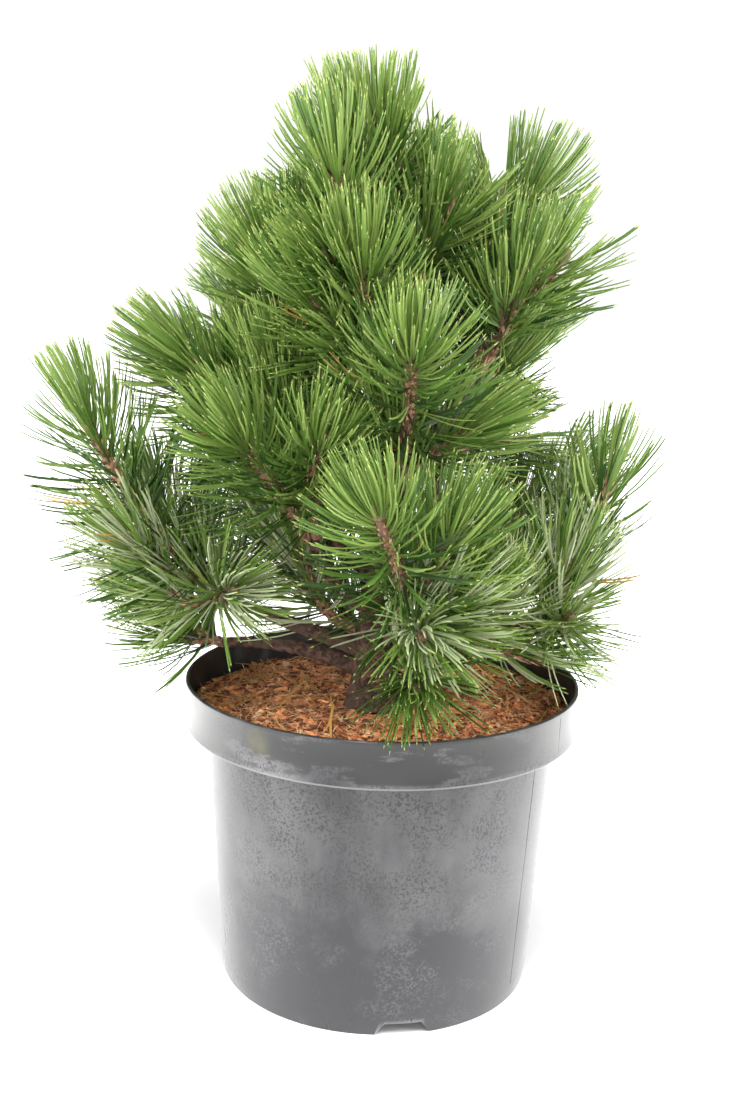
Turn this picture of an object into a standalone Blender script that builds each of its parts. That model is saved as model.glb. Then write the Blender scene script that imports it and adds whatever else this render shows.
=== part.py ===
"""A young Bosnian pine, about 40 cm tall above its soil, in a round nursery pot.

Metres, +Z up. The origin is the middle of the pot's flat underside, and -Y is the front.
Headings are degrees round the pot's axis: 0 is +X, 90 is the back, 180 is -X and -90 is the front.
"""

import math
import random
from collections import namedtuple

import bmesh
import bpy
import numpy as np
from mathutils import Matrix, Vector

CLEAR = 0.0003
WELD = 0.00001
SHARP_ANGLE = 30.0

# Pot: a tapering wall under a wider collar, on a foot ring with three drain notches
POT_HEIGHT = 0.198
RIM_RADIUS = 0.1265
COLLAR_RADIUS = 0.1255
COLLAR_HEIGHT = 0.0295
NECK_RADIUS = 0.1116
WALL_FOOT_RADIUS = 0.1020
FOOT_RADIUS = 0.1002
WALL = 0.0020
RECESS = 0.0090
HUB_RADIUS = 0.040
HUB_SLOPE = 0.004
POT_STEPS = 40
NOTCH_COUNT = 3
NOTCH_HEADING = -80.0
NOTCH_HEIGHT = 0.0080
NOTCH_FOOT_WIDTH = 0.034
NOTCH_TOP_WIDTH = 0.023
LEDGE = POT_HEIGHT - COLLAR_HEIGHT

# Soil: fills the pot, flat round the trunk and falling a little towards the wall
SOIL_TOP = 0.184
SOIL_EDGE = 0.178
SOIL_FLAT_RADIUS = 0.046

# Trunk: leans back a little, from a flared foot to the leader
TRUNK_FOOT = Vector((-0.005, -0.020, SOIL_TOP + CLEAR))
TRUNK_TIP = Vector((-0.011, 0.008, 0.488))
TRUNK_BOW = 0.004
TRUNK_FOOT_RADIUS = 0.0145
TRUNK_TIP_RADIUS = 0.0036
FLARE_RADIUS = 0.0055
FLARE_HEIGHT = 0.014
FLARE_STOPS = (0.0, 0.004, 0.010, 0.020)
TRUNK_STATIONS = 12

# Boughs: each tapers from a share of the trunk's radius and sweeps up to its tip
BOUGH_SHARE = 0.42
BOUGH_TIP_RADIUS = 0.0034
BOUGH_RISE = 18.0
BOUGH_STATIONS = 6
SWEEP = 0.45

# Shoots: the woody axes that the needles stand on
STEM_ROOT_RADIUS = 0.0034
STEM_BUD_RADIUS = 0.0026
STEM_STATIONS = 4
STEM_SWEEP = 0.30
STEM_FOOT = 0.0025
SIDE_STATIONS = 3
SIDE_AT = (0.30, 0.50)
SIDE_SPREAD = (34.0, 46.0)
SIDE_SHARE = (0.60, 0.80)
SIDE_LONGEST = 0.060
SIDE_LIFT = 0.50
SIDE_STEP = 137.5
SIDE_RADIUS_SHARE = 0.8

# Needles: each spike stands for a spray of them, with its tip where the spray's furthest tips are
NEEDLED_SHARE = 0.85
NEEDLED_LONGEST = 0.130
NEEDLE_ZONE = 0.085
NEEDLE_LENGTH_AT_BUD = 0.055
NEEDLE_LENGTH = 0.070
NEEDLE_ANGLE_AT_BUD = 8.0
NEEDLE_ANGLE_AT_FOOT = 72.0
NEEDLE_OPENING = 0.6
NEEDLE_ROLL = 137.5
SPIKE_RADIUS = 0.0013
SPIKE_STEP = 0.0066
SPIKE_TRIES = 8
SPIKE_TRY_TURN = 0.4
SPIKE_SPACING = 0.0006
SPACE_RADIUS = 0.085
SPIKE_SEED = 1000

# Room that a needle keeps to the pot and the soil, looked for at points along it
POT_ROOM = 0.003
RIM_ROOM = 0.008
LOOKS = 8
UPRIGHT = 0.95

Bough = namedtuple("Bough", "start heading reach height")
Mass = namedtuple("Mass", "limb heading reach height sides roll")

# A bough leaves the trunk at the height start, and its tip has a heading, a reach and a height
BOUGHS = {
    "low_left": Bough(0.2035, 159, 0.113, 0.206),
    "long_left": Bough(0.2175, 189, 0.098, 0.250),
    "low_front": Bough(0.2060, -80, 0.071, 0.222),
    "front": Bough(0.2270, -81, 0.065, 0.252),
    "low_right": Bough(0.2040, -21, 0.060, 0.223),
    "right": Bough(0.2230, -8, 0.087, 0.238),
    "front_left": Bough(0.2450, 218, 0.058, 0.295),
    "upper_front": Bough(0.2640, -79, 0.049, 0.330),
    "mid_left": Bough(0.2680, 188, 0.060, 0.335),
    "mid_right": Bough(0.2800, 27, 0.040, 0.334),
    "upper_left": Bough(0.3520, 176, 0.054, 0.414),
    "upper_right": Bough(0.3350, 0, 0.052, 0.396),
    "top_right": Bough(0.3850, 19, 0.061, 0.455),
    "low_back_left": Bough(0.2100, 118, 0.072, 0.238),
    "low_back_right": Bough(0.2170, 48, 0.076, 0.240),
    "back": Bough(0.2400, 88, 0.075, 0.290),
    "upper_back_left": Bough(0.2950, 138, 0.062, 0.355),
    "upper_back_right": Bough(0.3080, 50, 0.058, 0.362),
    "top_back_left": Bough(0.3680, 120, 0.050, 0.425),
    "top_back_right": Bough(0.3800, 70, 0.046, 0.430),
}

# A mass grows from a bough's tip, or from the trunk at a height, and its main bud has a heading,
# a reach and a height. Its side shoots start turning round the main one at the angle roll
MASSES = {
    "leader": Mass("trunk", 138, 0.015, 0.545, 2, 60),
    "top_left": Mass(0.455, 223, 0.053, 0.517, 1, 200),
    "top_front": Mass(0.395, 254, 0.073, 0.461, 1, 100),
    "top_inner_right": Mass(0.440, -18, 0.036, 0.511, 1, 20),
    "top_back": Mass(0.450, 85, 0.045, 0.508, 1, 40),
    "inner_left": Mass(0.232, 170, 0.070, 0.284, 1, 300),
    "low_left": Mass("low_left", 167, 0.135, 0.224, 2, 180),
    "far_left": Mass("long_left", 190, 0.188, 0.364, 2, 95),
    "left_front": Mass("long_left", 213, 0.111, 0.267, 1, 180),
    "low_front": Mass("low_front", -82, 0.121, 0.230, 0, 0),
    "front_centre": Mass("front", 267, 0.140, 0.330, 1, 270),
    "front_low_centre": Mass("front", -81, 0.121, 0.260, 1, 250),
    "right_front": Mass("low_right", -47, 0.096, 0.275, 0, 0),
    "low_right": Mass("low_right", 0, 0.105, 0.210, 0, 0),
    "far_right": Mass("right", 0, 0.139, 0.331, 1, 300),
    "right_low_front": Mass("right", -29, 0.125, 0.256, 1, 0),
    "left_centre": Mass("front_left", 222, 0.120, 0.363, 0, 0),
    "front_left_centre": Mass("front_left", 246, 0.098, 0.361, 1, 30),
    "upper_front": Mass("upper_front", -85, 0.110, 0.418, 1, 60),
    "centre_right": Mass("upper_front", -53, 0.075, 0.368, 0, 0),
    "mid_left": Mass("mid_left", 188, 0.128, 0.400, 1, 150),
    "mid_left_inner": Mass("mid_left", 202, 0.078, 0.396, 0, 0),
    "mid_right": Mass("mid_right", 34, 0.106, 0.346, 0, 0),
    "upper_mid_right": Mass("mid_right", 8, 0.069, 0.396, 1, 90),
    "upper_left": Mass("upper_left", 182, 0.077, 0.465, 2, 150),
    "upper_right": Mass("upper_right", -18, 0.101, 0.465, 1, 100),
    "upper_right_inner": Mass("upper_right", 8, 0.071, 0.462, 0, 0),
    "top_right": Mass("top_right", 14, 0.086, 0.504, 1, 285),
    "back_left": Mass("low_back_left", 134, 0.150, 0.325, 2, 40),
    "back_right": Mass("low_back_right", 33, 0.148, 0.316, 1, 60),
    "low_back": Mass("low_back_right", 72, 0.130, 0.240, 1, 90),
    "back": Mass("back", 85, 0.135, 0.362, 2, 30),
    "upper_back_left": Mass("upper_back_left", 143, 0.120, 0.420, 2, 60),
    "upper_back_right": Mass("upper_back_right", 44, 0.115, 0.418, 2, 10),
    "top_back_left": Mass("top_back_left", 122, 0.085, 0.485, 1, 70),
    "top_back_right": Mass("top_back_right", 64, 0.076, 0.478, 1, 300),
}

Shoot = namedtuple("Shoot", "path radii")
Rod = namedtuple("Rod", "start end start_radius end_radius")


def clear_scene():
    """Removes the objects that the file opened with."""
    for thing in list(bpy.data.objects):
        bpy.data.objects.remove(thing, do_unlink=True)


def material(name, colour, roughness):
    """A plain Principled material."""
    made = bpy.data.materials.new(name)
    made.use_nodes = True
    shader = made.node_tree.nodes["Principled BSDF"]
    shader.inputs["Base Color"].default_value = (*colour, 1.0)
    shader.inputs["Roughness"].default_value = roughness
    return made


def add_object(name, mesh, surface):
    """Links a mesh to the scene as a named object with one material."""
    made = bpy.data.objects.new(name, mesh)
    mesh.materials.clear()
    mesh.materials.append(surface)
    bpy.context.scene.collection.objects.link(made)
    return made


def place(heading, reach, height):
    """The point at a heading, a reach from the pot's axis and a height."""
    angle = math.radians(heading)
    return Vector((reach * math.cos(angle), reach * math.sin(angle), height))


def turned_mesh(name, profile):
    """A closed solid turned round the pot's axis, from a profile that starts and ends on it."""
    shape = bmesh.new()
    verts = [shape.verts.new((radius, 0.0, height)) for radius, height in profile]
    edges = [shape.edges.new(pair) for pair in zip(verts, verts[1:])]
    bmesh.ops.spin(
        shape,
        geom=verts + edges,
        axis=(0.0, 0.0, 1.0),
        cent=(0.0, 0.0, 0.0),
        angle=math.tau,
        steps=POT_STEPS,
        use_merge=True,
    )
    bmesh.ops.remove_doubles(shape, verts=shape.verts, dist=WELD)
    bmesh.ops.recalc_face_normals(shape, faces=shape.faces)
    mesh = bpy.data.meshes.new(name)
    shape.to_mesh(mesh)
    shape.free()
    mesh.shade_smooth()
    mesh.set_sharp_from_angle(angle=math.radians(SHARP_ANGLE))
    return mesh


def applied(thing):
    """Replaces an object's mesh with the result of its modifiers."""
    graph = bpy.context.evaluated_depsgraph_get()
    result = bpy.data.meshes.new_from_object(thing.evaluated_get(graph))
    thing.modifiers.clear()
    thing.data = result


def pot_profile():
    """The pot's outline, up the outside and down the inside."""
    outside = [
        (0.0, 0.0),
        (HUB_RADIUS, 0.0),
        (HUB_RADIUS + HUB_SLOPE, RECESS),
        (WALL_FOOT_RADIUS - WALL, RECESS),
        (FOOT_RADIUS - WALL, 0.0),
        (FOOT_RADIUS, 0.0),
        (WALL_FOOT_RADIUS, RECESS + WALL),
        (NECK_RADIUS, LEDGE),
        (COLLAR_RADIUS, LEDGE),
        (RIM_RADIUS, POT_HEIGHT),
    ]
    inside = [
        (RIM_RADIUS - WALL, POT_HEIGHT),
        (COLLAR_RADIUS - WALL, LEDGE + WALL),
        (NECK_RADIUS - WALL, LEDGE + WALL),
        (WALL_FOOT_RADIUS - WALL, RECESS + WALL),
        (HUB_RADIUS + HUB_SLOPE - WALL, RECESS + WALL),
        (HUB_RADIUS - WALL, WALL),
        (0.0, WALL),
    ]
    return outside + inside


def notch_cutter(index):
    """A trapezoid block through the foot ring, wider at the ground."""
    depth = 4 * WALL
    shape = bmesh.new()
    below = -WALL
    flare = (NOTCH_FOOT_WIDTH - NOTCH_TOP_WIDTH) / NOTCH_HEIGHT
    foot = NOTCH_FOOT_WIDTH - flare * below
    outline = [
        (-foot / 2, below),
        (foot / 2, below),
        (NOTCH_TOP_WIDTH / 2, NOTCH_HEIGHT),
        (-NOTCH_TOP_WIDTH / 2, NOTCH_HEIGHT),
    ]
    front = [shape.verts.new((across, -FOOT_RADIUS - depth, height)) for across, height in outline]
    face = shape.faces.new(front)
    made = bmesh.ops.extrude_face_region(shape, geom=[face])
    moved = [item for item in made["geom"] if isinstance(item, bmesh.types.BMVert)]
    bmesh.ops.translate(shape, verts=moved, vec=(0.0, 2 * depth, 0.0))
    bmesh.ops.recalc_face_normals(shape, faces=shape.faces)
    turn = NOTCH_HEADING + 90.0 + index * 360.0 / NOTCH_COUNT
    bmesh.ops.rotate(shape, verts=shape.verts, matrix=Matrix.Rotation(math.radians(turn), 3, "Z"))
    mesh = bpy.data.meshes.new("notch_cutter")
    shape.to_mesh(mesh)
    shape.free()
    cutter = bpy.data.objects.new("notch_cutter", mesh)
    bpy.context.scene.collection.objects.link(cutter)
    return cutter


def build_pot():
    """The pot, with its drain notches cut."""
    plastic = material("black_plastic", (0.03, 0.03, 0.033), 0.35)
    pot = add_object("pot", turned_mesh("pot", pot_profile()), plastic)
    for index in range(NOTCH_COUNT):
        cutter = notch_cutter(index)
        cut = pot.modifiers.new("notch", "BOOLEAN")
        cut.operation = "DIFFERENCE"
        cut.object = cutter
        applied(pot)
        bpy.data.objects.remove(cutter, do_unlink=True)


def build_soil():
    """The potting mix, clear of the pot's inside all round."""
    slope = (NECK_RADIUS - WALL_FOOT_RADIUS) / (LEDGE - RECESS - WALL)
    floor = RECESS + WALL + CLEAR
    shelf = LEDGE + WALL + CLEAR
    side = COLLAR_RADIUS - WALL - 2 * CLEAR
    profile = [
        (0.0, WALL + CLEAR),
        (HUB_RADIUS - WALL - 2 * CLEAR, WALL + CLEAR),
        (HUB_RADIUS + HUB_SLOPE - WALL - 2 * CLEAR, floor),
        (WALL_FOOT_RADIUS - WALL - 2 * CLEAR, floor),
        (WALL_FOOT_RADIUS - WALL - 2 * CLEAR + slope * (LEDGE - floor), shelf),
        (side, shelf),
        (side, SOIL_EDGE),
        (SOIL_FLAT_RADIUS, SOIL_TOP),
        (0.0, SOIL_TOP),
    ]
    mix = material("potting_mix", (0.20, 0.09, 0.05), 0.95)
    add_object("soil", turned_mesh("soil", profile), mix)


def trunk_centre(height):
    """The middle of the trunk at a height."""
    share = (height - TRUNK_FOOT.z) / (TRUNK_TIP.z - TRUNK_FOOT.z)
    centre = TRUNK_FOOT.lerp(TRUNK_TIP, share)
    centre.x += TRUNK_BOW * math.sin(math.pi * share)
    centre.z = height
    return centre


def trunk_radius(height):
    """The trunk's radius at a height, with the flare at its foot."""
    above = height - TRUNK_FOOT.z
    share = above / (TRUNK_TIP.z - TRUNK_FOOT.z)
    taper = TRUNK_FOOT_RADIUS + (TRUNK_TIP_RADIUS - TRUNK_FOOT_RADIUS) * share
    return taper + FLARE_RADIUS * math.exp(-above / FLARE_HEIGHT)


def trunk_shoot():
    """The trunk's centre line and radii, upright at its flat foot."""
    heights = [TRUNK_FOOT.z + stop for stop in FLARE_STOPS]
    flared = heights[-1]
    for step in range(1, TRUNK_STATIONS + 1):
        heights.append(flared + (TRUNK_TIP.z - flared) * step / TRUNK_STATIONS)
    path = [trunk_centre(height) for height in heights]
    path[1].xy = path[0].xy
    return Shoot(path, [trunk_radius(height) for height in heights])


def sweep(root, leave, tip, stations, bow=SWEEP):
    """A curve from root to tip that leaves in a given direction, straighter for a lower bow."""
    bend = root + leave.normalized() * (tip - root).length * bow
    path = []
    for step in range(stations + 1):
        share = step / stations
        path.append(root.lerp(bend, share).lerp(bend.lerp(tip, share), share))
    return path


def main_shoot(root, leave, mass):
    """A mass's main shoot, from a short straight foot to its bud."""
    foot = root + leave * STEM_FOOT
    bud = place(mass.heading, mass.reach, mass.height)
    path = sweep(foot, leave, bud, STEM_STATIONS, STEM_SWEEP)
    return tapered([root] + path, STEM_ROOT_RADIUS, STEM_BUD_RADIUS)


def tapered(path, root_radius, tip_radius):
    """A shoot on a path whose radius falls evenly from root to tip."""
    last = len(path) - 1
    radii = [root_radius + (tip_radius - root_radius) * step / last for step in range(last + 1)]
    return Shoot(path, radii)


def end_direction(path):
    """The direction in which a path ends."""
    return (path[-1] - path[-2]).normalized()


def bough_shoot(bough):
    """A bough's centre line, from the middle of the trunk to its tip."""
    root = trunk_centre(bough.start)
    tip = place(bough.heading, bough.reach, bough.height)
    outward = Vector((tip.x - root.x, tip.y - root.y, 0.0)).normalized()
    leave = outward + Vector((0.0, 0.0, math.tan(math.radians(BOUGH_RISE))))
    path = sweep(root, leave, tip, BOUGH_STATIONS)
    return tapered(path, trunk_radius(bough.start) * BOUGH_SHARE, BOUGH_TIP_RADIUS)


def limb_mesh(name, shoot, resolution):
    """A closed tube along a shoot, with its radius at each point."""
    curve = bpy.data.curves.new(name, "CURVE")
    curve.dimensions = "3D"
    curve.bevel_depth = 1.0
    curve.bevel_resolution = resolution
    curve.use_fill_caps = True
    spline = curve.splines.new("POLY")
    spline.points.add(len(shoot.path) - 1)
    for point, middle, radius in zip(spline.points, shoot.path, shoot.radii):
        point.co = (*middle, 1.0)
        point.radius = radius
    guide = bpy.data.objects.new(name, curve)
    bpy.context.scene.collection.objects.link(guide)
    graph = bpy.context.evaluated_depsgraph_get()
    mesh = bpy.data.meshes.new_from_object(guide.evaluated_get(graph))
    bpy.data.objects.remove(guide, do_unlink=True)
    welded = bmesh.new()
    welded.from_mesh(mesh)
    bmesh.ops.remove_doubles(welded, verts=welded.verts, dist=WELD)
    welded.to_mesh(mesh)
    welded.free()
    return mesh


def build_trunk(shoot, bark):
    """The trunk, whole from its flat foot to the leader."""
    mesh = limb_mesh("trunk", shoot, 4)
    mesh.shade_smooth()
    mesh.set_sharp_from_angle(angle=math.radians(SHARP_ANGLE))
    add_object("trunk", mesh, bark)


def build_bough(name, shoot, trunk, bark):
    """A bough whose root is cut to the trunk's surface, a little clear of it."""
    bough = add_object(f"bough_{name}", limb_mesh(name, shoot, 2), bark)
    wider = Shoot(trunk.path, [radius + CLEAR for radius in trunk.radii])
    cutter = bpy.data.objects.new("trunk_cutter", limb_mesh("trunk_cutter", wider, 4))
    bpy.context.scene.collection.objects.link(cutter)
    cut = bough.modifiers.new("root", "BOOLEAN")
    cut.operation = "DIFFERENCE"
    cut.object = cutter
    applied(bough)
    bpy.data.objects.remove(cutter, do_unlink=True)


def mass_root(name, mass, trunk, boughs):
    """Where a mass's stem starts, 0.3 mm clear of its limb, and its first direction."""
    bud = place(mass.heading, mass.reach, mass.height)
    if mass.limb == "trunk":
        leave = end_direction(trunk.path)
        return trunk.path[-1] + leave * CLEAR, leave
    if mass.limb not in boughs:
        centre = trunk_centre(mass.limb)
        leave = Vector((bud.x - centre.x, bud.y - centre.y, 0.0)).normalized()
        return centre + leave * (trunk_radius(mass.limb) + 3 * CLEAR), leave
    path = boughs[mass.limb].path
    leave = end_direction(path)
    apart = Vector()
    for other_name, other in MASSES.items():
        if other.limb == mass.limb and other_name != name:
            apart = bud - place(other.heading, other.reach, other.height)
            apart -= leave * apart.dot(leave)
            apart.normalize()
    return path[-1] + leave * CLEAR + apart * (STEM_ROOT_RADIUS + CLEAR), leave


def round_about(direction, roll):
    """The unit vector square to a direction at an angle round it, from its upper side."""
    upper = Vector((0.0, 0.0, 1.0))
    if abs(direction.z) > UPRIGHT:
        upper = Vector((0.0, 1.0, 0.0))
    upper = (upper - direction * upper.dot(direction)).normalized()
    across = direction.cross(upper)
    angle = math.radians(roll)
    return upper * math.cos(angle) + across * math.sin(angle)


def side_shoot(main, roll, dice):
    """A shoot that leaves the main one at a spread and turns up."""
    share = dice.uniform(*SIDE_AT) * (len(main.path) - 1)
    step = int(share)
    root = main.path[step].lerp(main.path[step + 1], share - step)
    along = (main.path[step + 1] - main.path[step]).normalized()
    spread = math.radians(dice.uniform(*SIDE_SPREAD))
    leave = along * math.cos(spread) + round_about(along, roll) * math.sin(spread)
    rising = (leave + Vector((0.0, 0.0, SIDE_LIFT))).normalized()
    length = min(SIDE_LONGEST, path_length(main.path) * dice.uniform(*SIDE_SHARE))
    path = sweep(root, leave, root + rising * length, SIDE_STATIONS)
    return tapered(path, main.radii[step] * SIDE_RADIUS_SHARE, STEM_BUD_RADIUS)


def rods_of(shoot):
    """A shoot as straight tapering rods."""
    return [Rod(*ends) for ends in zip(shoot.path, shoot.path[1:], shoot.radii, shoot.radii[1:])]


def least_gap(rod, others):
    """The least gap between a rod and a list of others, from the nearest points of their axes."""
    if not others:
        return math.inf
    starts = np.array([other.start for other in others])
    runs = np.array([other.end for other in others]) - starts
    run = np.array(rod.end - rod.start)
    between = np.array(rod.start) - starts
    own = run @ run
    theirs = np.einsum("ij,ij->i", runs, runs)
    cross = runs @ run
    along_own = between @ run
    along_theirs = np.einsum("ij,ij->i", runs, between)
    square = np.maximum(own * theirs - cross * cross, 1e-15)
    at_own = np.clip((cross * along_theirs - along_own * theirs) / square, 0.0, 1.0)
    at_theirs = np.clip((cross * at_own + along_theirs) / theirs, 0.0, 1.0)
    at_own = np.clip((cross * at_theirs - along_own) / own, 0.0, 1.0)
    nearest = between + at_own[:, None] * run - at_theirs[:, None] * runs
    first = np.array([other.start_radius for other in others])
    last = np.array([other.end_radius for other in others])
    own_radius = rod.start_radius + (rod.end_radius - rod.start_radius) * at_own
    their_radius = first + (last - first) * at_theirs
    return float((np.linalg.norm(nearest, axis=1) - own_radius - their_radius).min())


def meets_pot(rod):
    """Whether a rod comes near the pot or the soil."""
    for step in range(LOOKS + 1):
        point = rod.start.lerp(rod.end, step / LOOKS)
        reach = math.hypot(point.x, point.y)
        low = point.z < POT_HEIGHT + POT_ROOM and reach < RIM_RADIUS + POT_ROOM
        over_soil = reach < RIM_RADIUS - RIM_ROOM and point.z > SOIL_TOP + POT_ROOM
        if low and not over_soil:
            return True
    return False


def grow_shoots(root, leave, mass, others, dice):
    """A mass's main shoot and those of its side shoots that touch nothing."""
    main = main_shoot(root, leave, mass)
    shoots = [main]
    for index in range(mass.sides):
        side = side_shoot(main, mass.roll + index * SIDE_STEP, dice)
        if min(least_gap(rod, others) for rod in rods_of(side)) > SPIKE_SPACING:
            shoots.append(side)
    return shoots


def point_below_bud(path, below):
    """The point a distance back along a path from its tip, and the direction there."""
    for start, end in zip(path[-2::-1], path[:0:-1]):
        length = (end - start).length
        if below <= length:
            return end.lerp(start, below / length), (end - start).normalized()
        below -= length
    return path[0].copy(), (path[1] - path[0]).normalized()


def path_length(path):
    """The length of a path."""
    return sum((end - start).length for start, end in zip(path, path[1:]))


def needle(path, below, roll):
    """The root and the tip of a needle a distance below the bud."""
    root, along = point_below_bud(path, below)
    age = min(1.0, below / NEEDLE_ZONE)
    opened = age**NEEDLE_OPENING
    angle = NEEDLE_ANGLE_AT_BUD + (NEEDLE_ANGLE_AT_FOOT - NEEDLE_ANGLE_AT_BUD) * opened
    angle = math.radians(angle)
    length = NEEDLE_LENGTH_AT_BUD + (NEEDLE_LENGTH - NEEDLE_LENGTH_AT_BUD) * age
    aim = along * math.cos(angle) + round_about(along, roll) * math.sin(angle)
    return root, root + aim * length


def grow_spikes(shoot, main, others, dice):
    """Spikes round a shoot, without those that leave the mass's space or touch another solid."""
    zone = min(NEEDLED_LONGEST, path_length(shoot.path) * NEEDLED_SHARE)
    start = dice.uniform(0.0, 360.0)
    spikes = []
    for index in range(round(zone / SPIKE_STEP)):
        for attempt in range(SPIKE_TRIES):
            below = (index + dice.random()) * SPIKE_STEP
            roll = start + (index + attempt * SPIKE_TRY_TURN) * NEEDLE_ROLL
            root, tip = needle(shoot.path, below, roll)
            rod = Rod(root, tip, SPIKE_RADIUS, 0.0)
            inside = min((tip - point).length for point in main.path) < SPACE_RADIUS
            if inside and not meets_pot(rod) and least_gap(rod, others) > SPIKE_SPACING:
                spikes.append(rod)
                break
    return spikes


def spike_mesh(rod):
    """A three-sided spike from its sunk root to its tip."""
    run = rod.end - rod.start
    shape = bmesh.new()
    turn = run.to_track_quat("Z", "Y").to_matrix().to_4x4()
    middle = Matrix.Translation(rod.start.lerp(rod.end, 0.5))
    bmesh.ops.create_cone(
        shape,
        cap_ends=True,
        cap_tris=False,
        segments=3,
        radius1=rod.start_radius,
        radius2=0.0,
        depth=run.length,
        matrix=middle @ turn,
    )
    bmesh.ops.remove_doubles(shape, verts=shape.verts, dist=WELD)
    mesh = bpy.data.meshes.new("spike")
    shape.to_mesh(mesh)
    shape.free()
    return mesh


def keep_outer_shell(mesh):
    """Drops loose scraps and the walls of sealed hollows, which fills them."""
    shape = bmesh.new()
    shape.from_mesh(mesh)
    waiting = set(shape.faces)
    shells = []
    while waiting:
        shell = {waiting.pop()}
        edge_of_shell = list(shell)
        while edge_of_shell:
            face = edge_of_shell.pop()
            near = {other for edge in face.edges for other in edge.link_faces} & waiting
            waiting -= near
            shell |= near
            edge_of_shell += near
        shells.append(shell)
    outer = max(shells, key=len)
    loose = [face for face in shape.faces if face not in outer]
    bmesh.ops.delete(shape, geom=loose, context="FACES")
    shape.to_mesh(mesh)
    shape.free()


def build_mass(name, shoots, spikes, surface):
    """One solid of a mass's shoots and spikes."""
    mass = add_object(f"needles_{name}", limb_mesh(name, shoots[0], 0), surface)
    pieces = bpy.data.collections.new(f"{name}_pieces")
    bpy.context.scene.collection.children.link(pieces)
    meshes = [limb_mesh("side", shoot, 0) for shoot in shoots[1:]]
    meshes += [spike_mesh(rod) for rod in spikes]
    for mesh in meshes:
        pieces.objects.link(bpy.data.objects.new("piece", mesh))
    join = mass.modifiers.new("join", "BOOLEAN")
    join.operation = "UNION"
    join.operand_type = "COLLECTION"
    join.collection = pieces
    applied(mass)
    keep_outer_shell(mass.data)
    for piece in list(pieces.objects):
        bpy.data.objects.remove(piece, do_unlink=True)
    bpy.data.collections.remove(pieces)


def build_plant():
    """The trunk, the boughs and the masses of needles."""
    trunk = trunk_shoot()
    boughs = {name: bough_shoot(bough) for name, bough in BOUGHS.items()}
    bark = material("bark", (0.10, 0.065, 0.045), 0.9)
    build_trunk(trunk, bark)
    for name, shoot in boughs.items():
        build_bough(name, shoot, trunk, material(f"bark_{name}", (0.11, 0.07, 0.05), 0.9))

    limbs = rods_of(trunk)
    for shoot in boughs.values():
        limbs += rods_of(shoot)
    roots = {name: mass_root(name, mass, trunk, boughs) for name, mass in MASSES.items()}
    mains = {name: rods_of(main_shoot(*roots[name], mass)) for name, mass in MASSES.items()}

    grown = {}
    for index, (name, mass) in enumerate(MASSES.items()):
        others = list(limbs)
        for other in MASSES:
            if other != name:
                others += mains[other]
        grown[name] = grow_shoots(*roots[name], mass, others, random.Random(index))
        mains[name] = [rod for shoot in grown[name] for rod in rods_of(shoot)]

    spikes = {}
    for index, (name, shoots) in enumerate(grown.items()):
        others = list(limbs)
        for other in MASSES:
            if other != name:
                others += mains[other] + spikes.get(other, [])
        dice = random.Random(SPIKE_SEED + index)
        spikes[name] = []
        for shoot in shoots:
            spikes[name] += grow_spikes(shoot, shoots[0], others, dice)
        build_mass(name, shoots, spikes[name], material(f"needles_{name}", (0.10, 0.22, 0.05), 0.55))


def main():
    clear_scene()
    build_pot()
    build_soil()
    build_plant()


main()
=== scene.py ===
import math
import random
from collections import namedtuple

import bmesh
import bpy
import numpy as np
from mathutils import Matrix, Vector, noise


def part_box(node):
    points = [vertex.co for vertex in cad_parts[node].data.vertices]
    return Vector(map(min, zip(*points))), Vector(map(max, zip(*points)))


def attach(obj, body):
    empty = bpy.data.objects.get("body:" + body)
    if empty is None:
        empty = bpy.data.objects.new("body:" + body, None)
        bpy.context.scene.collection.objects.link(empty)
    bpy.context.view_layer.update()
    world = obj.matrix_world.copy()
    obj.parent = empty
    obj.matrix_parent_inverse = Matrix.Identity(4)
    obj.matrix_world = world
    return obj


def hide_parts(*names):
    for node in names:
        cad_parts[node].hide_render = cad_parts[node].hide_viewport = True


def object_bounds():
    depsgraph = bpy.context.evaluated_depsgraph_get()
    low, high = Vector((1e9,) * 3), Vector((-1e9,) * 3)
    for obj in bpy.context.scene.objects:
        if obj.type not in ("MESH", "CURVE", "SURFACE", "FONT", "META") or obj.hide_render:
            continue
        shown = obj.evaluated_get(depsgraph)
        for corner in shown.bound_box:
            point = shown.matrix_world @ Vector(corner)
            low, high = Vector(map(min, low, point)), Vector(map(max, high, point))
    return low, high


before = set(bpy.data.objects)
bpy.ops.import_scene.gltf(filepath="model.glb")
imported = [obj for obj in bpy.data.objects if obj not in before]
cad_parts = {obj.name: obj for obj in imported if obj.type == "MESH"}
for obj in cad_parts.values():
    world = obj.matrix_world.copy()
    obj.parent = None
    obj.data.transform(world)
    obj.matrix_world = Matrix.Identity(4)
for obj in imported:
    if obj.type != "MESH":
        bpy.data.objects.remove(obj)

# The looks of a young Bosnian pine in a black nursery pot.
# Metres, +Z up, -Y is the front, and the pot's axis is X = Y = 0.

CAD_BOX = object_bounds()
CLEAR = 0.0003
WELD = 0.00001
LIMB_WELD = 0.000005

# Angles in degrees up to which an edge is shaded smooth
CREASE = 40.0
POT_CREASE = 35.0
SOIL_CREASE = 60.0
NO_CREASE = 180.0

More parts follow.
